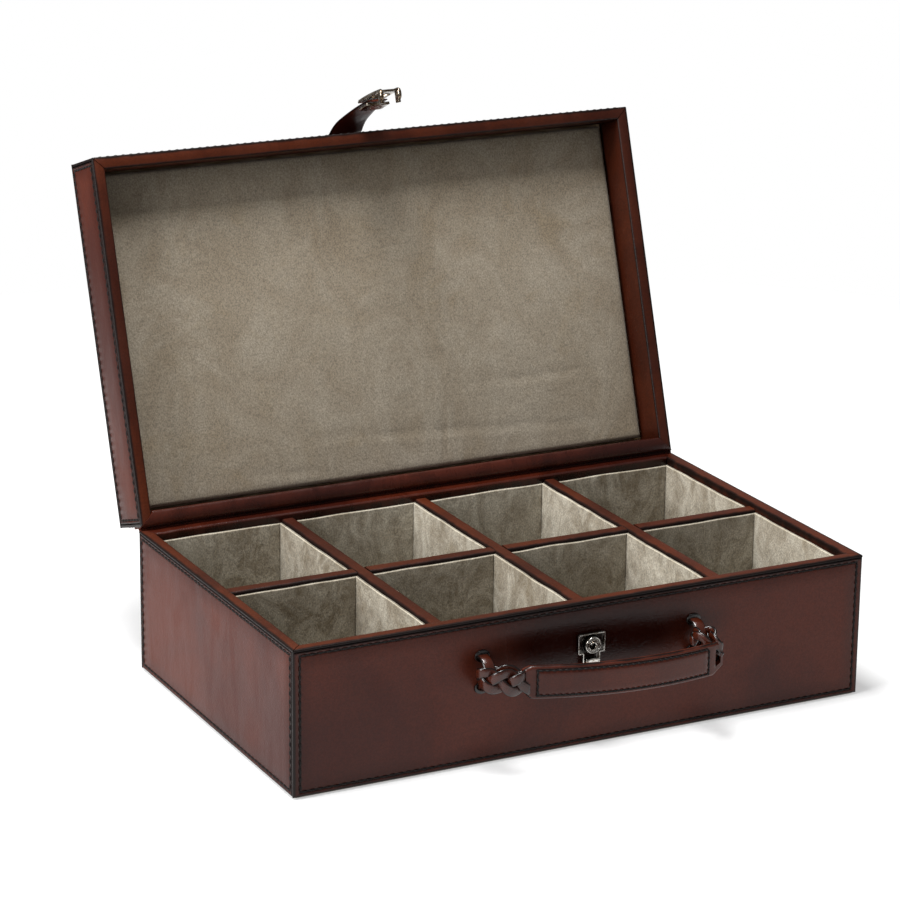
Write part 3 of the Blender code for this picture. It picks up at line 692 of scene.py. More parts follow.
def rim_skins(prefix, body, pull, way):
    """The three mitred strips over a rim. way is +1 where the turn-in runs up, as on the lid."""
    places = {"front": 0, "left": -pi / 2, "right": pi / 2}
    for side, turn in places.items():
        node = f"{prefix}_rim_{side}"
        low, high = pull(node)
        along = 0 if side == "front" else 1
        long_side = (high - low)[along] / 2
        width = (high - low)[1 - along]
        section = rim_ring(width, high.z - low.z)
        stations = max(8, round(long_side / 0.004))
        rings = []
        for i in range(stations + 1):
            ring = []
            for u, v in section:
                half = long_side - u
                x = -half + 2 * half * i / stations
                dent = 0.00004 * noise.noise(Vector((x * 60, u * 200, len(node))))
                ring.append((x, u, -way * (v - RIM_DROP) + dent))
            rings.append(ring)
        edge = low.z if way > 0 else high.z
        if side == "front":
            start = Vector((0, low.y, edge))
        else:
            start = Vector((low.x if side == "left" else high.x, 0, edge))
        matrix = Matrix.Translation(start) @ Matrix.Rotation(turn, 4, "Z")
        # Painted shade: the base's rims carry part of the burnished edge's dark colour down their inner
        # sides, into the compartments.
        inside = SHADED_INSIDE_EDGE if way < 0 else FAR_FROM_EDGE
        distances = [inside if v < -0.002 else min(u, width - u + 0.0006) / MM for u, v in section]
        shape = placed(loft(rings, distances), matrix)
        piece(f"{node}_skin", joined(node, [shape]), RIM, body, "leather_rim", node)


def hem_line(section_points, thickness):
    """A leather strip's section: its line thickened to its right, by a thickness for each point."""
    line = [Vector(p) for p in section_points]
    other = []
    for i, point in enumerate(line):
        along = (line[min(i + 1, len(line) - 1)] - line[max(i - 1, 0)]).normalized()
        other.append(point + Vector((along.y, -along.x)) * thickness[i])
    return line + other[::-1]


def lid_point(y, z):
    """Where a point of the closed lid rests, as (y, z)."""
    moved = open_lid @ Vector((0, y, z))
    return moved.y, moved.z


def gusset():
    """The leather hinge inside: one mitred strip over the base's back rim, folded, and over the lid's."""
    low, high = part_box("hinge_gusset_lower")
    lid_low, lid_high = closed_box("hinge_gusset_upper")
    inner, top = low.y, high.z
    turned = 0.0014  # the leather's thickness on the rims, and its radius over them
    tip_level = lid_low.z + 0.0016
    foot, head = lid_point(high.y, lid_low.z), lid_point(inner, lid_low.z)
    tip = lid_point(inner, tip_level)
    line = [(inner, low.z), (inner, top - turned)]
    line += arc((inner + turned, top - turned), turned, 165, 90, 4)
    line += [(inner + 0.0040, top + 0.0001), (high.y - 0.0016, top)]
    line += [(high.y - 0.0006, top + 0.0005), (high.y - 0.0009, top + 0.0014)]
    out = Vector((foot[1] - head[1], head[0] - foot[0])).normalized() * GUSSET_CROWN
    for share in (0.03, 0.25, 0.5, 0.75):
        rise = out * sin(pi * share)
        line.append(tuple(a + (b - a) * share + r for a, b, r in zip(foot, head, rise)))
    line += [(0.5 * (head[0] + tip[0]) - 0.0002, 0.5 * (head[1] + tip[1]) + 0.0003)]
    line += [lid_point(inner, tip_level + (lid_high.z - tip_level) * t) for t in (0.1, 0.5, 1.0)]
    fine = [(p.y, p.z) for p in smooth_path([Vector((0, *p)) for p in line], 72)]
    thickness = [turned if z < top + 0.0002 or z > foot[1] else turned / 2 for y, z in fine]
    section = hem_line(fine, thickness)
    closed = open_lid.inverted()
    halves = []
    for y, z in section:
        if z < 0.5 * (top + foot[1]):
            halves.append(HALF_WIDTH - max(0.0, high.y - y))
        else:
            halves.append(HALF_LID_WIDTH - max(0.0, high.y - (closed @ Vector((0, y, z))).y))
    stations = 96
    rings = []
    for i in range(stations + 1):
        share = 2 * i / stations - 1
        ring = []
        for (y, z), half in zip(section, halves):
            pucker = 0.0005 * noise.noise(Vector((share * 16, y * 80, z * 60))) * abs(share) ** 8
            ripple = 0.00012 * noise.noise(Vector((share * 5, y * 150, 4.0)))
            ring.append((share * half, y + pucker, z + pucker + ripple))
        rings.append(ring)
    # Painted shade: the strip's inner face down the base's back wall sits nearer the burnished edge's dark
    # colour than the rest.
    edge = [1.05 if y < inner + 0.0002 and z < top - 0.002 else 1.6 for y, z in section]
    made = piece("hinge_gusset", joined("hinge_gusset", [loft(rings, edge)]), GUSSET, None, "leather_rim",
                 "hinge_gusset_lower", "hinge_gusset_upper", ride=False)
    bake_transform(made)


def outer_hinge():
    """The leather strip outside, from the base's back to the lid's, drawn with slack bent round the hinge as
    the lid rests open.
    """
    low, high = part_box("hinge_strip_lower")
    lid_low, lid_high = closed_box("hinge_strip_upper")
    thickness, out = high.y - low.y, lid_high.y
    line = [(high.y, low.z), (high.y, low.z + 0.010), (high.y, high.z - 0.003)]
    line.append((high.y + 0.0001, high.z - 0.002))
    line += arc((HINGE.y, HINGE.z), 0.0049, -60, -50, 1)
    line += [lid_point(out, lid_low.z + t) for t in (0.0012, 0.003, 0.008, lid_high.z - lid_low.z)]
    fine = [(p.y, p.z) for p in smooth_path([Vector((0, *p)) for p in line], 60)]
    section = hem_line(fine, [-thickness] * len(fine))
    half = high.x - 0.0005
    rings = [[(half * (2 * i / 60 - 1), y, z) for y, z in section] for i in range(61)]
    made = piece("hinge_strip", joined("hinge_strip", [loft(rings)]), PANEL, None, "leather_panel",
                 "hinge_strip_lower", "hinge_strip_upper", ride=False)
    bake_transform(made)


def bar_shape(low, high, axis, step=0.006):
    """A leather-topped divider between two corners, with a rounded top, drawn out along axis 0 or 1."""
    across = 1 - axis
    width = high[across] - low[across]
    radius = 0.0016
    left, right, top = -width / 2, width / 2, high.z
    section = [(right, low.z), (right, top - 0.006)]
    section += arc((right - radius, top - radius), radius, 0, 90, 5)
    section += arc((left + radius, top - radius), radius, 90, 180, 5)
    section += [(left, top - 0.006), (left, low.z)]
    middle = (low[across] + high[across]) / 2
    length = high[axis] - low[axis]
    stations = max(2, round(length / step))
    rings = []
    for i in range(stations + 1):
        at = low[axis] + length * i / stations
        ring = []
        for a, z in section:
            dent = 0.00010 * noise.noise(Vector((at * 80, a * 200, middle * 50)))
            point = Vector()
            point[axis] = at
            point[across] = middle + a
            point.z = z + (dent if z > top - 0.003 else 0)
            ring.append(point)
        rings.append(ring)
    # Painted shade: the sides under the rounded top get edge 0, and so the burnished edge's near-black
    # colour.
    edge = [0.0 if z < top - radius else 0.5 + (width / 2 - abs(a)) / MM for a, z in section]
    return loft(rings, edge)


def dividers():
    crossings = []
    for index in (1, 2, 3):
        node = f"cross_divider_{index}"
        low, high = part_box(node)
        crossings.append((low.x, high.x))
        piece(f"{node}_skin", joined(node, [bar_shape(low, high, 1)]), RIM, "base", "leather_rim", node)
    low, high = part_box("long_divider")
    starts = [low.x] + [right + 0.0001 for left, right in crossings]
    ends = [left - 0.0001 for left, right in crossings] + [high.x]
    shapes = [
        bar_shape(Vector((a, low.y, low.z)), Vector((b, high.y, high.z)), 0) for a, b in zip(starts, ends)
    ]
    piece("long_divider_skin", joined("long_divider", shapes), RIM, "base", "leather_rim", "long_divider")


# ---------------------------------------------------------------- suede


def liners():
    """Five suede-covered cards in each compartment: a floor and four walls that butt at the corners."""
    card = 0.0012
    sides = (((1, 0, 0), 0), ((-1, 0, 0), 0), ((0, 1, 0), 1), ((0, -1, 0), 1), ((0, 0, 1), 2))
    for index in range(1, 9):
        node = f"compartment_liner_{index}"
        low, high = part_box(node)
        shapes = []
        for turn, (out, axis) in enumerate(sides):
            a, b = low.copy(), high.copy()
            if sum(out) > 0:
                b[axis] = a[axis] + card
            else:
                a[axis] = b[axis] - card
            if axis == 1:
                a.x += card + 0.0001
                b.x -= card + 0.0001
            if axis == 2:
                a += Vector((card, card, 0))
                b -= Vector((card, card, 0))
            else:
                a.z += card * 0.3
            matrix, width, height, thickness = facing(a, b, out)
            shape = panel_shape(width, height, thickness, step=0.005, rounding=0.0007, crown=0.00035,
                                wobble=0.00032, grain=36.0, seed=index * 7.0 + turn)
            points, faces, _ = placed(shape, matrix)
            # The walls' distance from their top feeds the suede's paler top edge and its painted highlight.
            from_top = [(high.z - p.z) / MM if axis < 2 else FAR_FROM_EDGE for p in points]
            if axis < 2:
                for p in points:
                    wave = noise.noise(Vector((p.x * 45, p.y * 45, index * 3.0)))
                    p.z += 0.0006 * wave * max(0.0, 1 - (high.z - p.z) / 0.006)
            shapes.append((points, faces, from_top))
        piece(f"{node}_suede", joined(node, shapes), LINER_SUEDE, "base", "suede", node)


def crease(u, v, start, end, width, depth):
    """A soft fold in a padded surface along a line."""
    line, off = end - start, Vector((u, v)) - start
    share = off.dot(line) / line.length_squared
    if not 0 < share < 1:
        return 0.0
    side = 1 if off.cross(line) > 0 else -1
    off = (off - line * share).length
    dip = 0.5 * side * exp(-((off / (3 * width)) ** 2)) - exp(-((off / width) ** 2))
    return depth * sin(pi * share) * dip


def lid_lining():
    """The lid's padded ceiling: a crowned suede cushion with a few faint folds."""
    node = "lid_lining_pad"
    low, high = closed_box(node)
    matrix, width, height, thickness = facing(low, high, (0, 0, -1))
    folds = (  # start and end as shares of the width and the height, width and depth
        ((0.26, 0.140), (0.99, 0.060), 0.0016, 0.00046),
        ((0.62, 0.240), (0.98, 0.228), 0.0014, 0.00034),
        ((0.84, 0.940), (0.97, 0.620), 0.0015, 0.00040),
        ((0.66, 0.760), (0.67, 0.500), 0.0013, 0.00028),
        ((0.18, 0.060), (0.42, 0.010), 0.0014, 0.00040),
    )

    def relief(u, v):
        total = 0.00035 * noise.fractal(Vector((u * 9, v * 9, 2.0)), 1.0, 2.0, 2)
        for start, end, across, depth in folds:
            a = Vector((start[0] * width, start[1] * height))
            b = Vector((end[0] * width, end[1] * height))
            total += crease(u, v, a, b, across, depth)
        return total

    shape = panel_shape(width, height, thickness, step=0.0026, rounding=0.0024, crown=0.0018,
                        wobble=0.00014, grain=70.0, seed=3.0, relief=relief)
    made = piece("lid_lining", joined(node, [placed(shape, matrix)]), LID_SUEDE, "lid", "suede", node)


def underside():
    node = "base_pad"
    low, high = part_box(node)
    inset = Vector((0.0008, 0.0008, 0))
    matrix, width, height, thickness = facing(low + inset, high - inset, (0, 0, -1))
    shape = panel_shape(width, height, thickness, step=0.012, rounding=0.0008, wobble=0.0)
    piece("base_pad_suede", joined(node, [placed(shape, matrix)]), FELT, "base", "suede", node)


# ---------------------------------------------------------------- handle


def grip_front(x):
    middle = (GRIP_START + GRIP_END) / 2
    share = (x - middle) / (GRIP_END - middle)
    return GRIP_STAND_OFF + GRIP_BOW * (1 - share * share)


def grip_level(x):
    return GRIP_LEVEL - GRIP_FALL * (x - GRIP_START) / (GRIP_END - GRIP_START)


def grip_place(x, across, out):
    """A point on the grip: across is its height from the middle, out its distance in front of the middle."""
    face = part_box("base_front_leather")[0].y
    slope = -2 * GRIP_BOW * (x - (GRIP_START + GRIP_END) / 2) / ((GRIP_END - GRIP_START) / 2) ** 2
    normal = Vector((slope, -1, 0)).normalized()
    middle = Vector((x, face - grip_front(x) + GRIP_THICKNESS / 2, grip_level(x)))
    return middle + normal * out + Vector((0, 0, across))


def grip_outline(x):
    """Top and bottom of the grip at x. It narrows to a neck on the left and to a flap on the right."""
    half = GRIP_HEIGHT / 2
    left = min(1.0, max(0.0, (GRIP_START + 0.0005 - x) / 0.004)) ** 1.2
    right = min(1.0, max(0.0, (x - GRIP_END) / FLAP_LENGTH))
    top = half * (1 - 0.22 * left - 0.10 * right ** 3)
    bottom = -half * (1 - 0.45 * left - 0.50 * right)
    return top, bottom


def handle_grip():
    """A leather-covered bar: a raised, stitched front inside a rounded border, and a slotted flap."""
    half, thick, rounding = GRIP_HEIGHT / 2, GRIP_THICKNESS / 2, 0.0016
    raising, slot_depth = 0.0007, 0.0030
    start, end = GRIP_START + 0.0004, GRIP_END - 0.0018
    slot_start, slot_end = GRIP_END + 0.0014, GRIP_END + 0.0056
    stations = [*np.linspace(GRIP_START - 0.0035, GRIP_END + FLAP_LENGTH, 70)]
    stations += [start + GRIP_INSET, end - GRIP_INSET]
    stations += [slot_start, slot_start + 0.0003, slot_end - 0.0003, slot_end]
    halves = (0.15, 0.30, 0.38, 0.55, 0.70, 0.74, 0.76, 0.775, 0.80, 0.86, 0.92, 0.97, 1.0)
    front = [-a for a in reversed(halves)] + [0.0, *halves]
    back = (0.97, 0.8, 0.3, -0.3, -0.8, -0.97)
    rings, edges = [], []
    for x in sorted(stations):
        top, bottom = grip_outline(x)
        middle, reach = (top + bottom) / 2, (top - bottom) / 2
        from_end = min(x - start, end - x)
        ring = []
        for a in front:
            down = half * (1 - abs(a))
            edge_round = rounding - sqrt(max(0.0, rounding ** 2 - max(0.0, rounding - down) ** 2))
            g = min(down, from_end) - GRIP_INSET
            groove = 0.0006 * exp(-((g / 0.0006) ** 2))
            raised = raising / (1 + exp(-g / 0.00035)) if g < 0.004 else raising
            slotted = slot_start + 0.0002 < x < slot_end - 0.0002 and abs(a) < 0.5
            out = thick - raising + raised - groove - edge_round - (slot_depth if slotted else 0)
            ring.append(grip_place(x, middle + a * reach, out))
            # Painted shade: the slot gets edge 0, the burnished edge's near-black, for the gap the plait
            # passes through.
            edges.append(0.0 if slotted else min(down / MM * 1.4 + 0.2, 0.35 + abs(g) / MM * 1.5))
        for a in back:
            ring.append(grip_place(x, middle + a * reach, -thick * (1 if abs(a) < 0.9 else 0.72)))
            edges.append(1.5)
        rings.append(ring)
    mesh = joined("handle_grip", [loft(rings, edges)])
    piece("handle_grip_leather", mesh, STRAP, "handle", "leather_handle", "handle_grip")

    pitch, out = 0.0036, Vector((0, -1, 0))
    stitches = Stitching(length=0.0030, width=0.00105, pitch=pitch)
    start, end, level = start + GRIP_INSET, end - GRIP_INSET, half - GRIP_INSET
    sunk = thick - 0.0005
    count = round((end - start) / pitch)
    for across in (-level, level):
        marks = [grip_place(start + (end - start) * i / count, across, sunk) for i in range(count + 1)]
        for a, b in zip(marks, marks[1:]):
            stitches.run(a, b, out)
    for x in (start, end):
        stitches.run(grip_place(x, -level, sunk), grip_place(x, level, sunk), out)
    stitches.finish("handle_stitches", "handle", "leather_handle")


def plait(path, turns, swing, depth, width, phase, loop):
    """Three flat strands that cross over and under each other along path, wide in height.

    swing and depth are how far they weave across and through the plait. They lie closer together near loop,
    the place where a leather loop holds them.
    """
    shapes = []
    side = Vector((0, 0, 1))
    for k in range(3):
        line = []
        for i, point in enumerate(path):
            tangent = tangent_at(path, i)
            wide = (side - side.dot(tangent) * tangent).normalized()
            out = tangent.cross(wide)
            turn = 2 * pi * (turns * i / (len(path) - 1) + k / 3) + phase
            held = 1 - 0.6 * exp(-(((point - loop).length / 0.0065) ** 2))
            line.append(point + wide * held * swing * sin(turn) + out * depth * sin(2 * turn))
        shapes.append(strand(line, side, width, 0.0020, edge_soft=0.55, ends=0.9))
    return shapes


def handle_plaits():
    """The left plait is stretched out from its loop to the grip, and the right one bunched up."""
    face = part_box("base_front_leather")[0].y

    def route(points):
        return [Vector((x + right, face - out, z + up)) for right, out, up in points]

    x, z = SWING.x - LOOP_PLACE, SWING.z
    end = grip_place(GRIP_START - 0.001, 0, 0)
    left = [end + Vector((0.0015, 0.0010, -0.0002)), end + Vector((-0.0055, 0.0006, 0.0002))]
    left += route([
        (0.0050, 0.0190, -0.0004),
        (-0.0005, 0.0162, 0),
        (-0.0050, 0.0125, 0.0002),
        (-0.0048, 0.0080, 0),
        (-0.0002, 0.0060, 0),
        (0.0045, 0.0092, -0.0002),
        (0.0100, 0.0150, -0.0004),
    ])
    left.append(end + Vector((-0.0020, 0.0040, -0.0004)))
    loop = Vector((x, face - 0.0060, z))
    shapes = plait(smooth_path(left, 96), 1.7, 0.0048, 0.0017, 0.0060, 0.9, loop)
    mesh = joined("plait_left", shapes)
    piece("plait_left_leather", mesh, PLAIT, "handle", "leather_handle", "plait_left")

    x = SWING.x + LOOP_PLACE
    end = grip_place(GRIP_END - 0.001, 0, -GRIP_THICKNESS / 2)
    right = [end + Vector((-0.0030, 0.0010, 0.0030))]
    right += route([
        (-0.0040, 0.0165, 0.0010),
        (-0.0046, 0.0120, 0.0030),
        (-0.0040, 0.0084, 0.0028),
        (0.0006, 0.0066, 0.0022),
        (0.0046, 0.0092, 0.0020),
        (0.0046, 0.0135, 0.0018),
        (0.0036, 0.0180, 0.0002),
    ])
    right.append(end + Vector((0.0040, 0.0010, 0.0010)))
    loop = Vector((x, face - 0.0066, z + 0.0024))
    shapes = plait(smooth_path(right, 84), 1.4, 0.0040, 0.0015, 0.0054, 0.3, loop)
    mesh = joined("plait_right", shapes)
    piece("plait_right_leather", mesh, PLAIT, "handle", "leather_handle", "plait_right")


def handle_staples():
    """Rolled leather loops that come out of the front, with a domed washer at each end."""
    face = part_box("base_front_leather")[0].y
    dome = ((1.0, 0), (1.0, 0.0005), (0.96, 0.0009), (0.8, 0.0011), (0.5, 0.0011))
    for side, name in ((-1, "left"), (1, "right")):
        node = f"handle_staple_{name}"
        low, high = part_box(node)
        x, middle = side * LOOP_PLACE, (low.z + high.z) / 2
        reach = face - low.y - 0.0026
        radius = (high.z - low.z) / 2 - 0.0022
        route = [(x, face + 0.0008, middle + radius)]
        for i in range(9):
            turn = pi / 2 - pi * i / 8
            route.append((x, face - 0.0018 - (reach - 0.0018) * cos(turn), middle + radius * sin(turn)))
        route.append((x, face + 0.0008, middle - radius))
        shapes = [strand(smooth_path(route, 48), (1, 0, 0), 0.0068, 0.0020, edge_soft=0.5)]
        for level in (middle + radius, middle - radius):
            washer = []
            for size, rise in dome:
                ring = circle(20, 0.0046 * size, 0.0036 * size)
                washer.append([(x + a, face - rise, level + b) for a, b in ring])
            shapes.append(loft(washer, [0.8] * 20))
        piece(f"{node}_leather", joined(node, shapes), PLAIT, "base", "leather_handle", node)


# ---------------------------------------------------------------- metal and hasp


def refined(node, body, material, bevel=0.00022):
    """A CAD node's own shape with its flat faces joined up and its edges rounded."""
    mesh = frame["nodes"][node].data.copy()
    mesh.materials.clear()
    bm = bmesh.new()
    bm.from_mesh(mesh)
    bmesh.ops.remove_doubles(bm, verts=bm.verts, dist=1e-6)
    bmesh.ops.dissolve_limit(bm, angle_limit=radians(2), verts=bm.verts, edges=bm.edges)
    bm.to_mesh(mesh)
    bm.free()
    obj = linked(f"{node}_metal", mesh)
    mesh.materials.append(material)
    mesh.shade_smooth()
    mesh.set_sharp_from_angle(angle=radians(40))
    rounding = obj.modifiers.new("Rounded edges", "BEVEL")
    rounding.width = bevel
    rounding.segments = 3
    rounding.limit_method = "ANGLE"
    rounding.angle_limit = radians(35)
    rounding.harden_normals = True
    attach(obj, body)
    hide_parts(node)


def ring_shape(centre, radius, wire, start=0.0, sweep=360.0):
    """A round wire in the X-Z plane, whole or part of a turn with thin ends."""
    rings = []
    whole = sweep >= 360
    steps = 40 if whole else max(6, round(40 * sweep / 360))
    for i in range(steps + 1):
        turn = radians(start + sweep * i / steps)
        spoke = Vector((cos(turn), 0, sin(turn)))
        size = wire if whole else wire * (0.35 + 0.65 * sin(pi * i / steps))
        rings.append([centre + spoke * (radius + a) + Vector((0, b, 0)) for a, b in circle(10, size, size)])
    return loft(rings, caps=not whole)


def lock():
    """A dark plate in a bright raised frame, rings round its boss and a bright crescent by its keyhole."""
    refined("lock_plate", "base", DARK_NICKEL)
    refined("lock_catch", "lock_catch", NICKEL)
    low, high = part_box("lock_plate")
    boss_low, boss_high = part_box("lock_boss")
    centre = (boss_low + boss_high) / 2
    centre.y = boss_low.y
    radius = (boss_high.x - boss_low.x) / 2
    shapes = []
    for share, lift, wire in ((0.90, 0.0002, 0.00042), (0.72, 0.0001, 0.00022), (0.58, 0.0001, 0.00030)):
        shapes.append(ring_shape(centre + Vector((0, lift, 0)), share * radius, wire))
    face = low.y - 0.0001
    shoulder, neck = high.z - 0.011, 0.005
    outline = [(low.x, high.z), (low.x, shoulder), (-neck, shoulder), (-neck, low.z), (neck, low.z)]
    outline += [(neck, shoulder), (high.x, shoulder), (high.x, high.z)]
    for (ax, az), (bx, bz) in zip(outline, outline[1:] + outline[:1]):
        a, b = Vector((ax, face, az)), Vector((bx, face, bz))
        path = [a + (b - a) * t for t in (0, 0.25, 0.5, 0.75, 1)]
        shapes.append(strand(path, (0, 1, 0), 0.0010, 0.0008, edge_soft=1.0))
    piece("lock_frame", joined("lock_frame", shapes), NICKEL, "base", "nickel")
    plug_low, plug_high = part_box("lock_plug")
    hub = (plug_low + plug_high) / 2
    hub.y = boss_low.y - 0.0001
    crescent = ring_shape(hub, 0.0018, 0.00060, start=-75, sweep=240)
    piece("lock_crescent", joined("lock_crescent", [crescent]), NICKEL, "lock_plug", "nickel")
    low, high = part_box("lock_catch")
    lip = []
    for t in np.linspace(0, 1, 9):
        level = high.z - 0.0008 + 0.0007 * sin(pi * t)
        lip.append(Vector((low.x + (high.x - low.x) * t, low.y - 0.0001, level)))
    shapes = [strand(lip, (0, 1, 0), 0.0013, 0.0011, edge_soft=1.0)]
    piece("catch_lip", joined("catch_lip", shapes), NICKEL, "lock_catch", "nickel")


def pairs(values):
    return list(zip(values[:-1], values[1:]))


def hasp_angle(length):
    """How far the hasp leans off the lid's front at this length from its root."""
    stops = (0.0, HASP_BEND_AT * HASP_LENGTH, HASP_LENGTH, HASP_LENGTH + HASP_PLATE_LENGTH)
    for (start, end), (low, high) in zip(pairs(stops), pairs(HASP_ANGLES)):
        if length <= end:
            break
    return radians(low + (high - low) * (length - start) / (end - start))


def hasp_line(length, x, off):
    """A point off the hasp's middle line, with the lid closed."""
    place = HASP_ROOT.copy()
    steps = max(1, round(length / 0.0005))
    for index in range(steps):
        angle = hasp_angle((index + 0.5) * length / steps)
        place -= Vector((0, sin(angle), cos(angle))) * (length / steps)
    angle = hasp_angle(length)
    return place + Vector((x, -cos(angle) * off, sin(angle) * off))


def hasp_strap():
    """The leather strap: stitched to the lid's top, bent over its edge and tapering into the clamp."""
    seat_low, seat_high = closed_box("hasp_seat")
    bend = 0.002  # the strap leaves its seat this far before the edge and comes down this far past it
    reach = HASP_LENGTH + HASP_KEEPER_LENGTH - 0.001
    front = Vector((0, seat_low.y + bend, (seat_low.z + seat_high.z) / 2))
    seat = Vector((0, seat_high.y, front.z))
    places = [seat.lerp(front, i / 14) for i in range(15)]
    knee = hasp_line(bend, 0, 0)
    for t in (0.25, 0.5, 0.75):
        places.append(front.lerp(knee, t) + Vector((0, -0.0012, 0.0012)) * sin(pi * t))
    flat = len(places)
    places += [hasp_line(bend + (reach - bend) * i / 30, 0, 0) for i in range(31)]
    rings = []
    section = rounded_section(2.0, HASP_LEATHER / MM, 0.9, 4)
    for i, point in enumerate(places):
        out = tangent_at(places, i).cross(Vector((1, 0, 0))).normalized()
        share = max(0, i - flat) / 30
        half = (HASP_ROOT_WIDTH + (HASP_END_WIDTH - HASP_ROOT_WIDTH) * share) / 2
        if i == 0:
            half *= 0.82
        ring = []
        for a, b in section:
            wide = a * half if abs(a) < 0.99 else (half if a > 0 else -half)
            ring.append(point + Vector((wide, 0, 0)) + out * b * MM / 2)
        rings.append(ring)
    mesh = joined("hasp_strap", [loft(rings, [(1 - abs(a)) * 8 for a, b in section])])
    mesh.transform(open_lid)
    made = piece("hasp_strap_leather", mesh, STRAP, None, "leather_handle", "hasp_strap", "hasp_seat",
                 ride=False)
    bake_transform(made)

    stitches = Stitching(length=0.0026, width=0.0007, pitch=0.0033)
    top = seat_high.z + 0.00005
    x, near, far = HASP_ROOT_WIDTH / 2 - 0.0022, seat_low.y + 0.0035, seat_high.y - 0.0022
    corners = [Vector(p) for p in ((-x, near, top), (x, near, top), (x, far, top), (-x, far, top))]
    for a, b in zip(corners, corners[1:] + corners[:1]):
        stitches.run(a, b, Vector((0, 0, 1)))
    stitches.finish("hasp_seat_stitches", "lid", "leather_handle")


def hasp_metal():
    """The clamp and the lock's cover, with raised rails round its clamp and window, and two curled hooks."""
    for node in ("hasp_plate", "hasp_keeper"):
        refined(node, "hasp", HASP_NICKEL, bevel=0.00028)
    half = closed_box("hasp_plate")[1].x
    face = HASP_LEATHER / 2 + 0.0015
    tip = HASP_LENGTH + HASP_PLATE_LENGTH
    curl = [(-0.0050, -0.0007), (-0.0028, -0.0006), (-0.0008, -0.0009), (-0.0001, -0.0022)]
    curl += [(-0.0003, -0.0040), (-0.0012, -0.0058)]
    shapes = []
    for side in (-1, 1):
        x = side * (half - 0.0011)
        rail = []
        for t in np.linspace(0.01, 0.97, 14):
            rail.append(hasp_line(HASP_LENGTH + HASP_PLATE_LENGTH * t, x * (1 - 0.12 * t), face + 0.0003))
        shapes.append(strand(rail, (1, 0, 0), 0.0016, 0.0011, edge_soft=0.5))
        hook = [hasp_line(tip + along, side * (half - 0.0016), face + off) for along, off in curl]
        shapes.append(strand(smooth_path(hook, 20), (1, 0, 0), 0.0025, 0.0030, edge_soft=0.55, ends=0.7))
    for at in (0.0006, 0.0106, HASP_PLATE_LENGTH - 0.0052):
        bar = [hasp_line(HASP_LENGTH + at, half * 0.86 * t, face + 0.0003) for t in np.linspace(-1, 1, 7)]
        along = hasp_line(HASP_LENGTH + at + 0.001, 0, 0) - hasp_line(HASP_LENGTH + at, 0, 0)
        shapes.append(strand(bar, along, 0.0014, 0.0010, edge_soft=0.5))
    under = []
    for t in np.linspace(0.02, 0.98, 6):
        under.append(hasp_line(HASP_LENGTH + HASP_KEEPER_LENGTH * t, 0, -face - 0.0001))
    shapes.append(strand(under, (1, 0, 0), 2.0 * half + 0.0004, 0.0011, edge_soft=0.25))
    piece("hasp_rails", joined("hasp_rails", shapes), HASP_NICKEL, "hasp", "nickel")


# ---------------------------------------------------------------- carried-over nodes


def carried_over():
    """Materials for the CAD nodes that stay: the boards under the leather and the lock's turned pieces."""
    for name, node in frame["nodes"].items():
        if node.hide_render:
            continue
        if name.endswith(("_wall", "_board")):
            material = BOARD
        else:
            material = DARK_NICKEL if name.startswith("lock") else NICKEL
        node.data.materials.clear()
        node.data.materials.append(material)
        if material is not BOARD:
            node.data.shade_smooth()
            node.data.set_sharp_from_angle(angle=radians(35))


# ---------------------------------------------------------------- stage


def floor():
    """A pale sheet under the box, bright enough to run into the white room round it."""
    mesh = bpy.data.meshes.new("floor")
    bm = bmesh.new()
    bmesh.ops.create_circle(bm, cap_ends=True, segments=64, radius=FLOOR_REACH)
    bm.to_mesh(mesh)
    bm.free()
    made, tree, shader = new_material("pale_floor")
    tint = fractal(tree, place_of(tree), 3, 2)
    feed(tree, shader, {
        "Base Color": mix(tree, tint, (0.40, 0.40, 0.40), (0.43, 0.43, 0.43)),
        "Roughness": 1.0,
        "Specular IOR Level": 0.0,
        "Emission Color": (1, 1, 1, 1),
        "Emission Strength": FLOOR_GLOW,
    })
    mesh.materials.append(made)
    linked("floor", mesh)


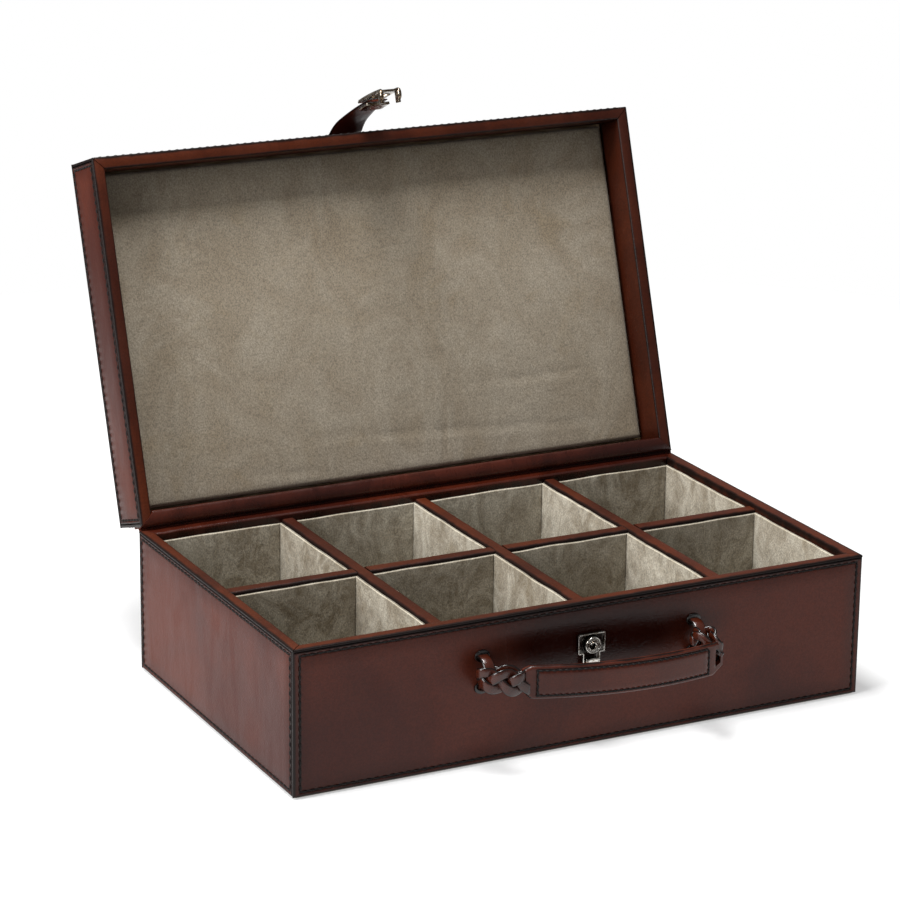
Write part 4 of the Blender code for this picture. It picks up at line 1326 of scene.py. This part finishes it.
def softbox(name, place, aim, size, power):
    light = bpy.data.lights.new(name, "AREA")
    light.shape = "RECTANGLE"
    light.size, light.size_y = size
    light.energy = power
    obj = linked(name, light)
    obj.location = place
    obj.rotation_euler = (Vector(aim) - Vector(place)).to_track_quat("-Z", "Y").to_euler()


def studio():
    """A white room that looks brighter than the light it sheds, a key on the left and a softbox overhead."""
    world = bpy.data.worlds.new("white_studio")
    world.use_nodes = True
    tree = world.node_tree
    seen = add(tree, "ShaderNodeLightPath").outputs["Is Camera Ray"]
    strength = {"Value": seen, "To Min": ROOM_LIGHT, "To Max": 1.0}
    strength = add(tree, "ShaderNodeMapRange", strength).outputs[0]
    feed(tree, tree.nodes["Background"], {"Color": (1, 1, 1, 1), "Strength": strength})
    bpy.context.scene.world = world
    bpy.context.scene.view_settings.view_transform = "Standard"
    softbox("key", (-2.0, -0.15, 1.0), (0, 0, 0.1), (1.3, 1.3), KEY_POWER)
    softbox("overhead", (-0.25, 0.0, 1.6), (0, 0, 0), (0.55, 0.5), OVERHEAD_POWER)


def camera():
    """Turned 27.2 degrees round the box and 17.5 above it, with a long lens."""
    azimuth, elevation, roll = radians(-27.2179), radians(17.4885), radians(0.6455)
    back = Vector((sin(azimuth) * cos(elevation), -cos(azimuth) * cos(elevation), sin(elevation)))
    level = Vector((cos(azimuth), sin(azimuth), 0))
    above = back.cross(level)
    right = cos(roll) * level + sin(roll) * above
    up = cos(roll) * above - sin(roll) * level
    turned = Matrix((right, up, back)).transposed().to_4x4()
    data = bpy.data.cameras.new("camera")
    data.sensor_width = 36.0
    data.lens = 135.2
    obj = linked("camera", data)
    obj.matrix_world = Matrix.Translation((-0.87230, -1.63338, 0.72525)) @ turned
    bpy.context.scene.camera = obj


camera()
studio()
floor()
outer_panels("base", "base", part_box)
outer_panels("lid", "lid", closed_box)
rim_skins("base", "base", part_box, -1)
rim_skins("lid", "lid", closed_box, 1)
dividers()
liners()
lid_lining()
underside()
gusset()
outer_hinge()
handle_grip()
handle_plaits()
handle_staples()
lock()
hasp_strap()
hasp_metal()
carried_over()
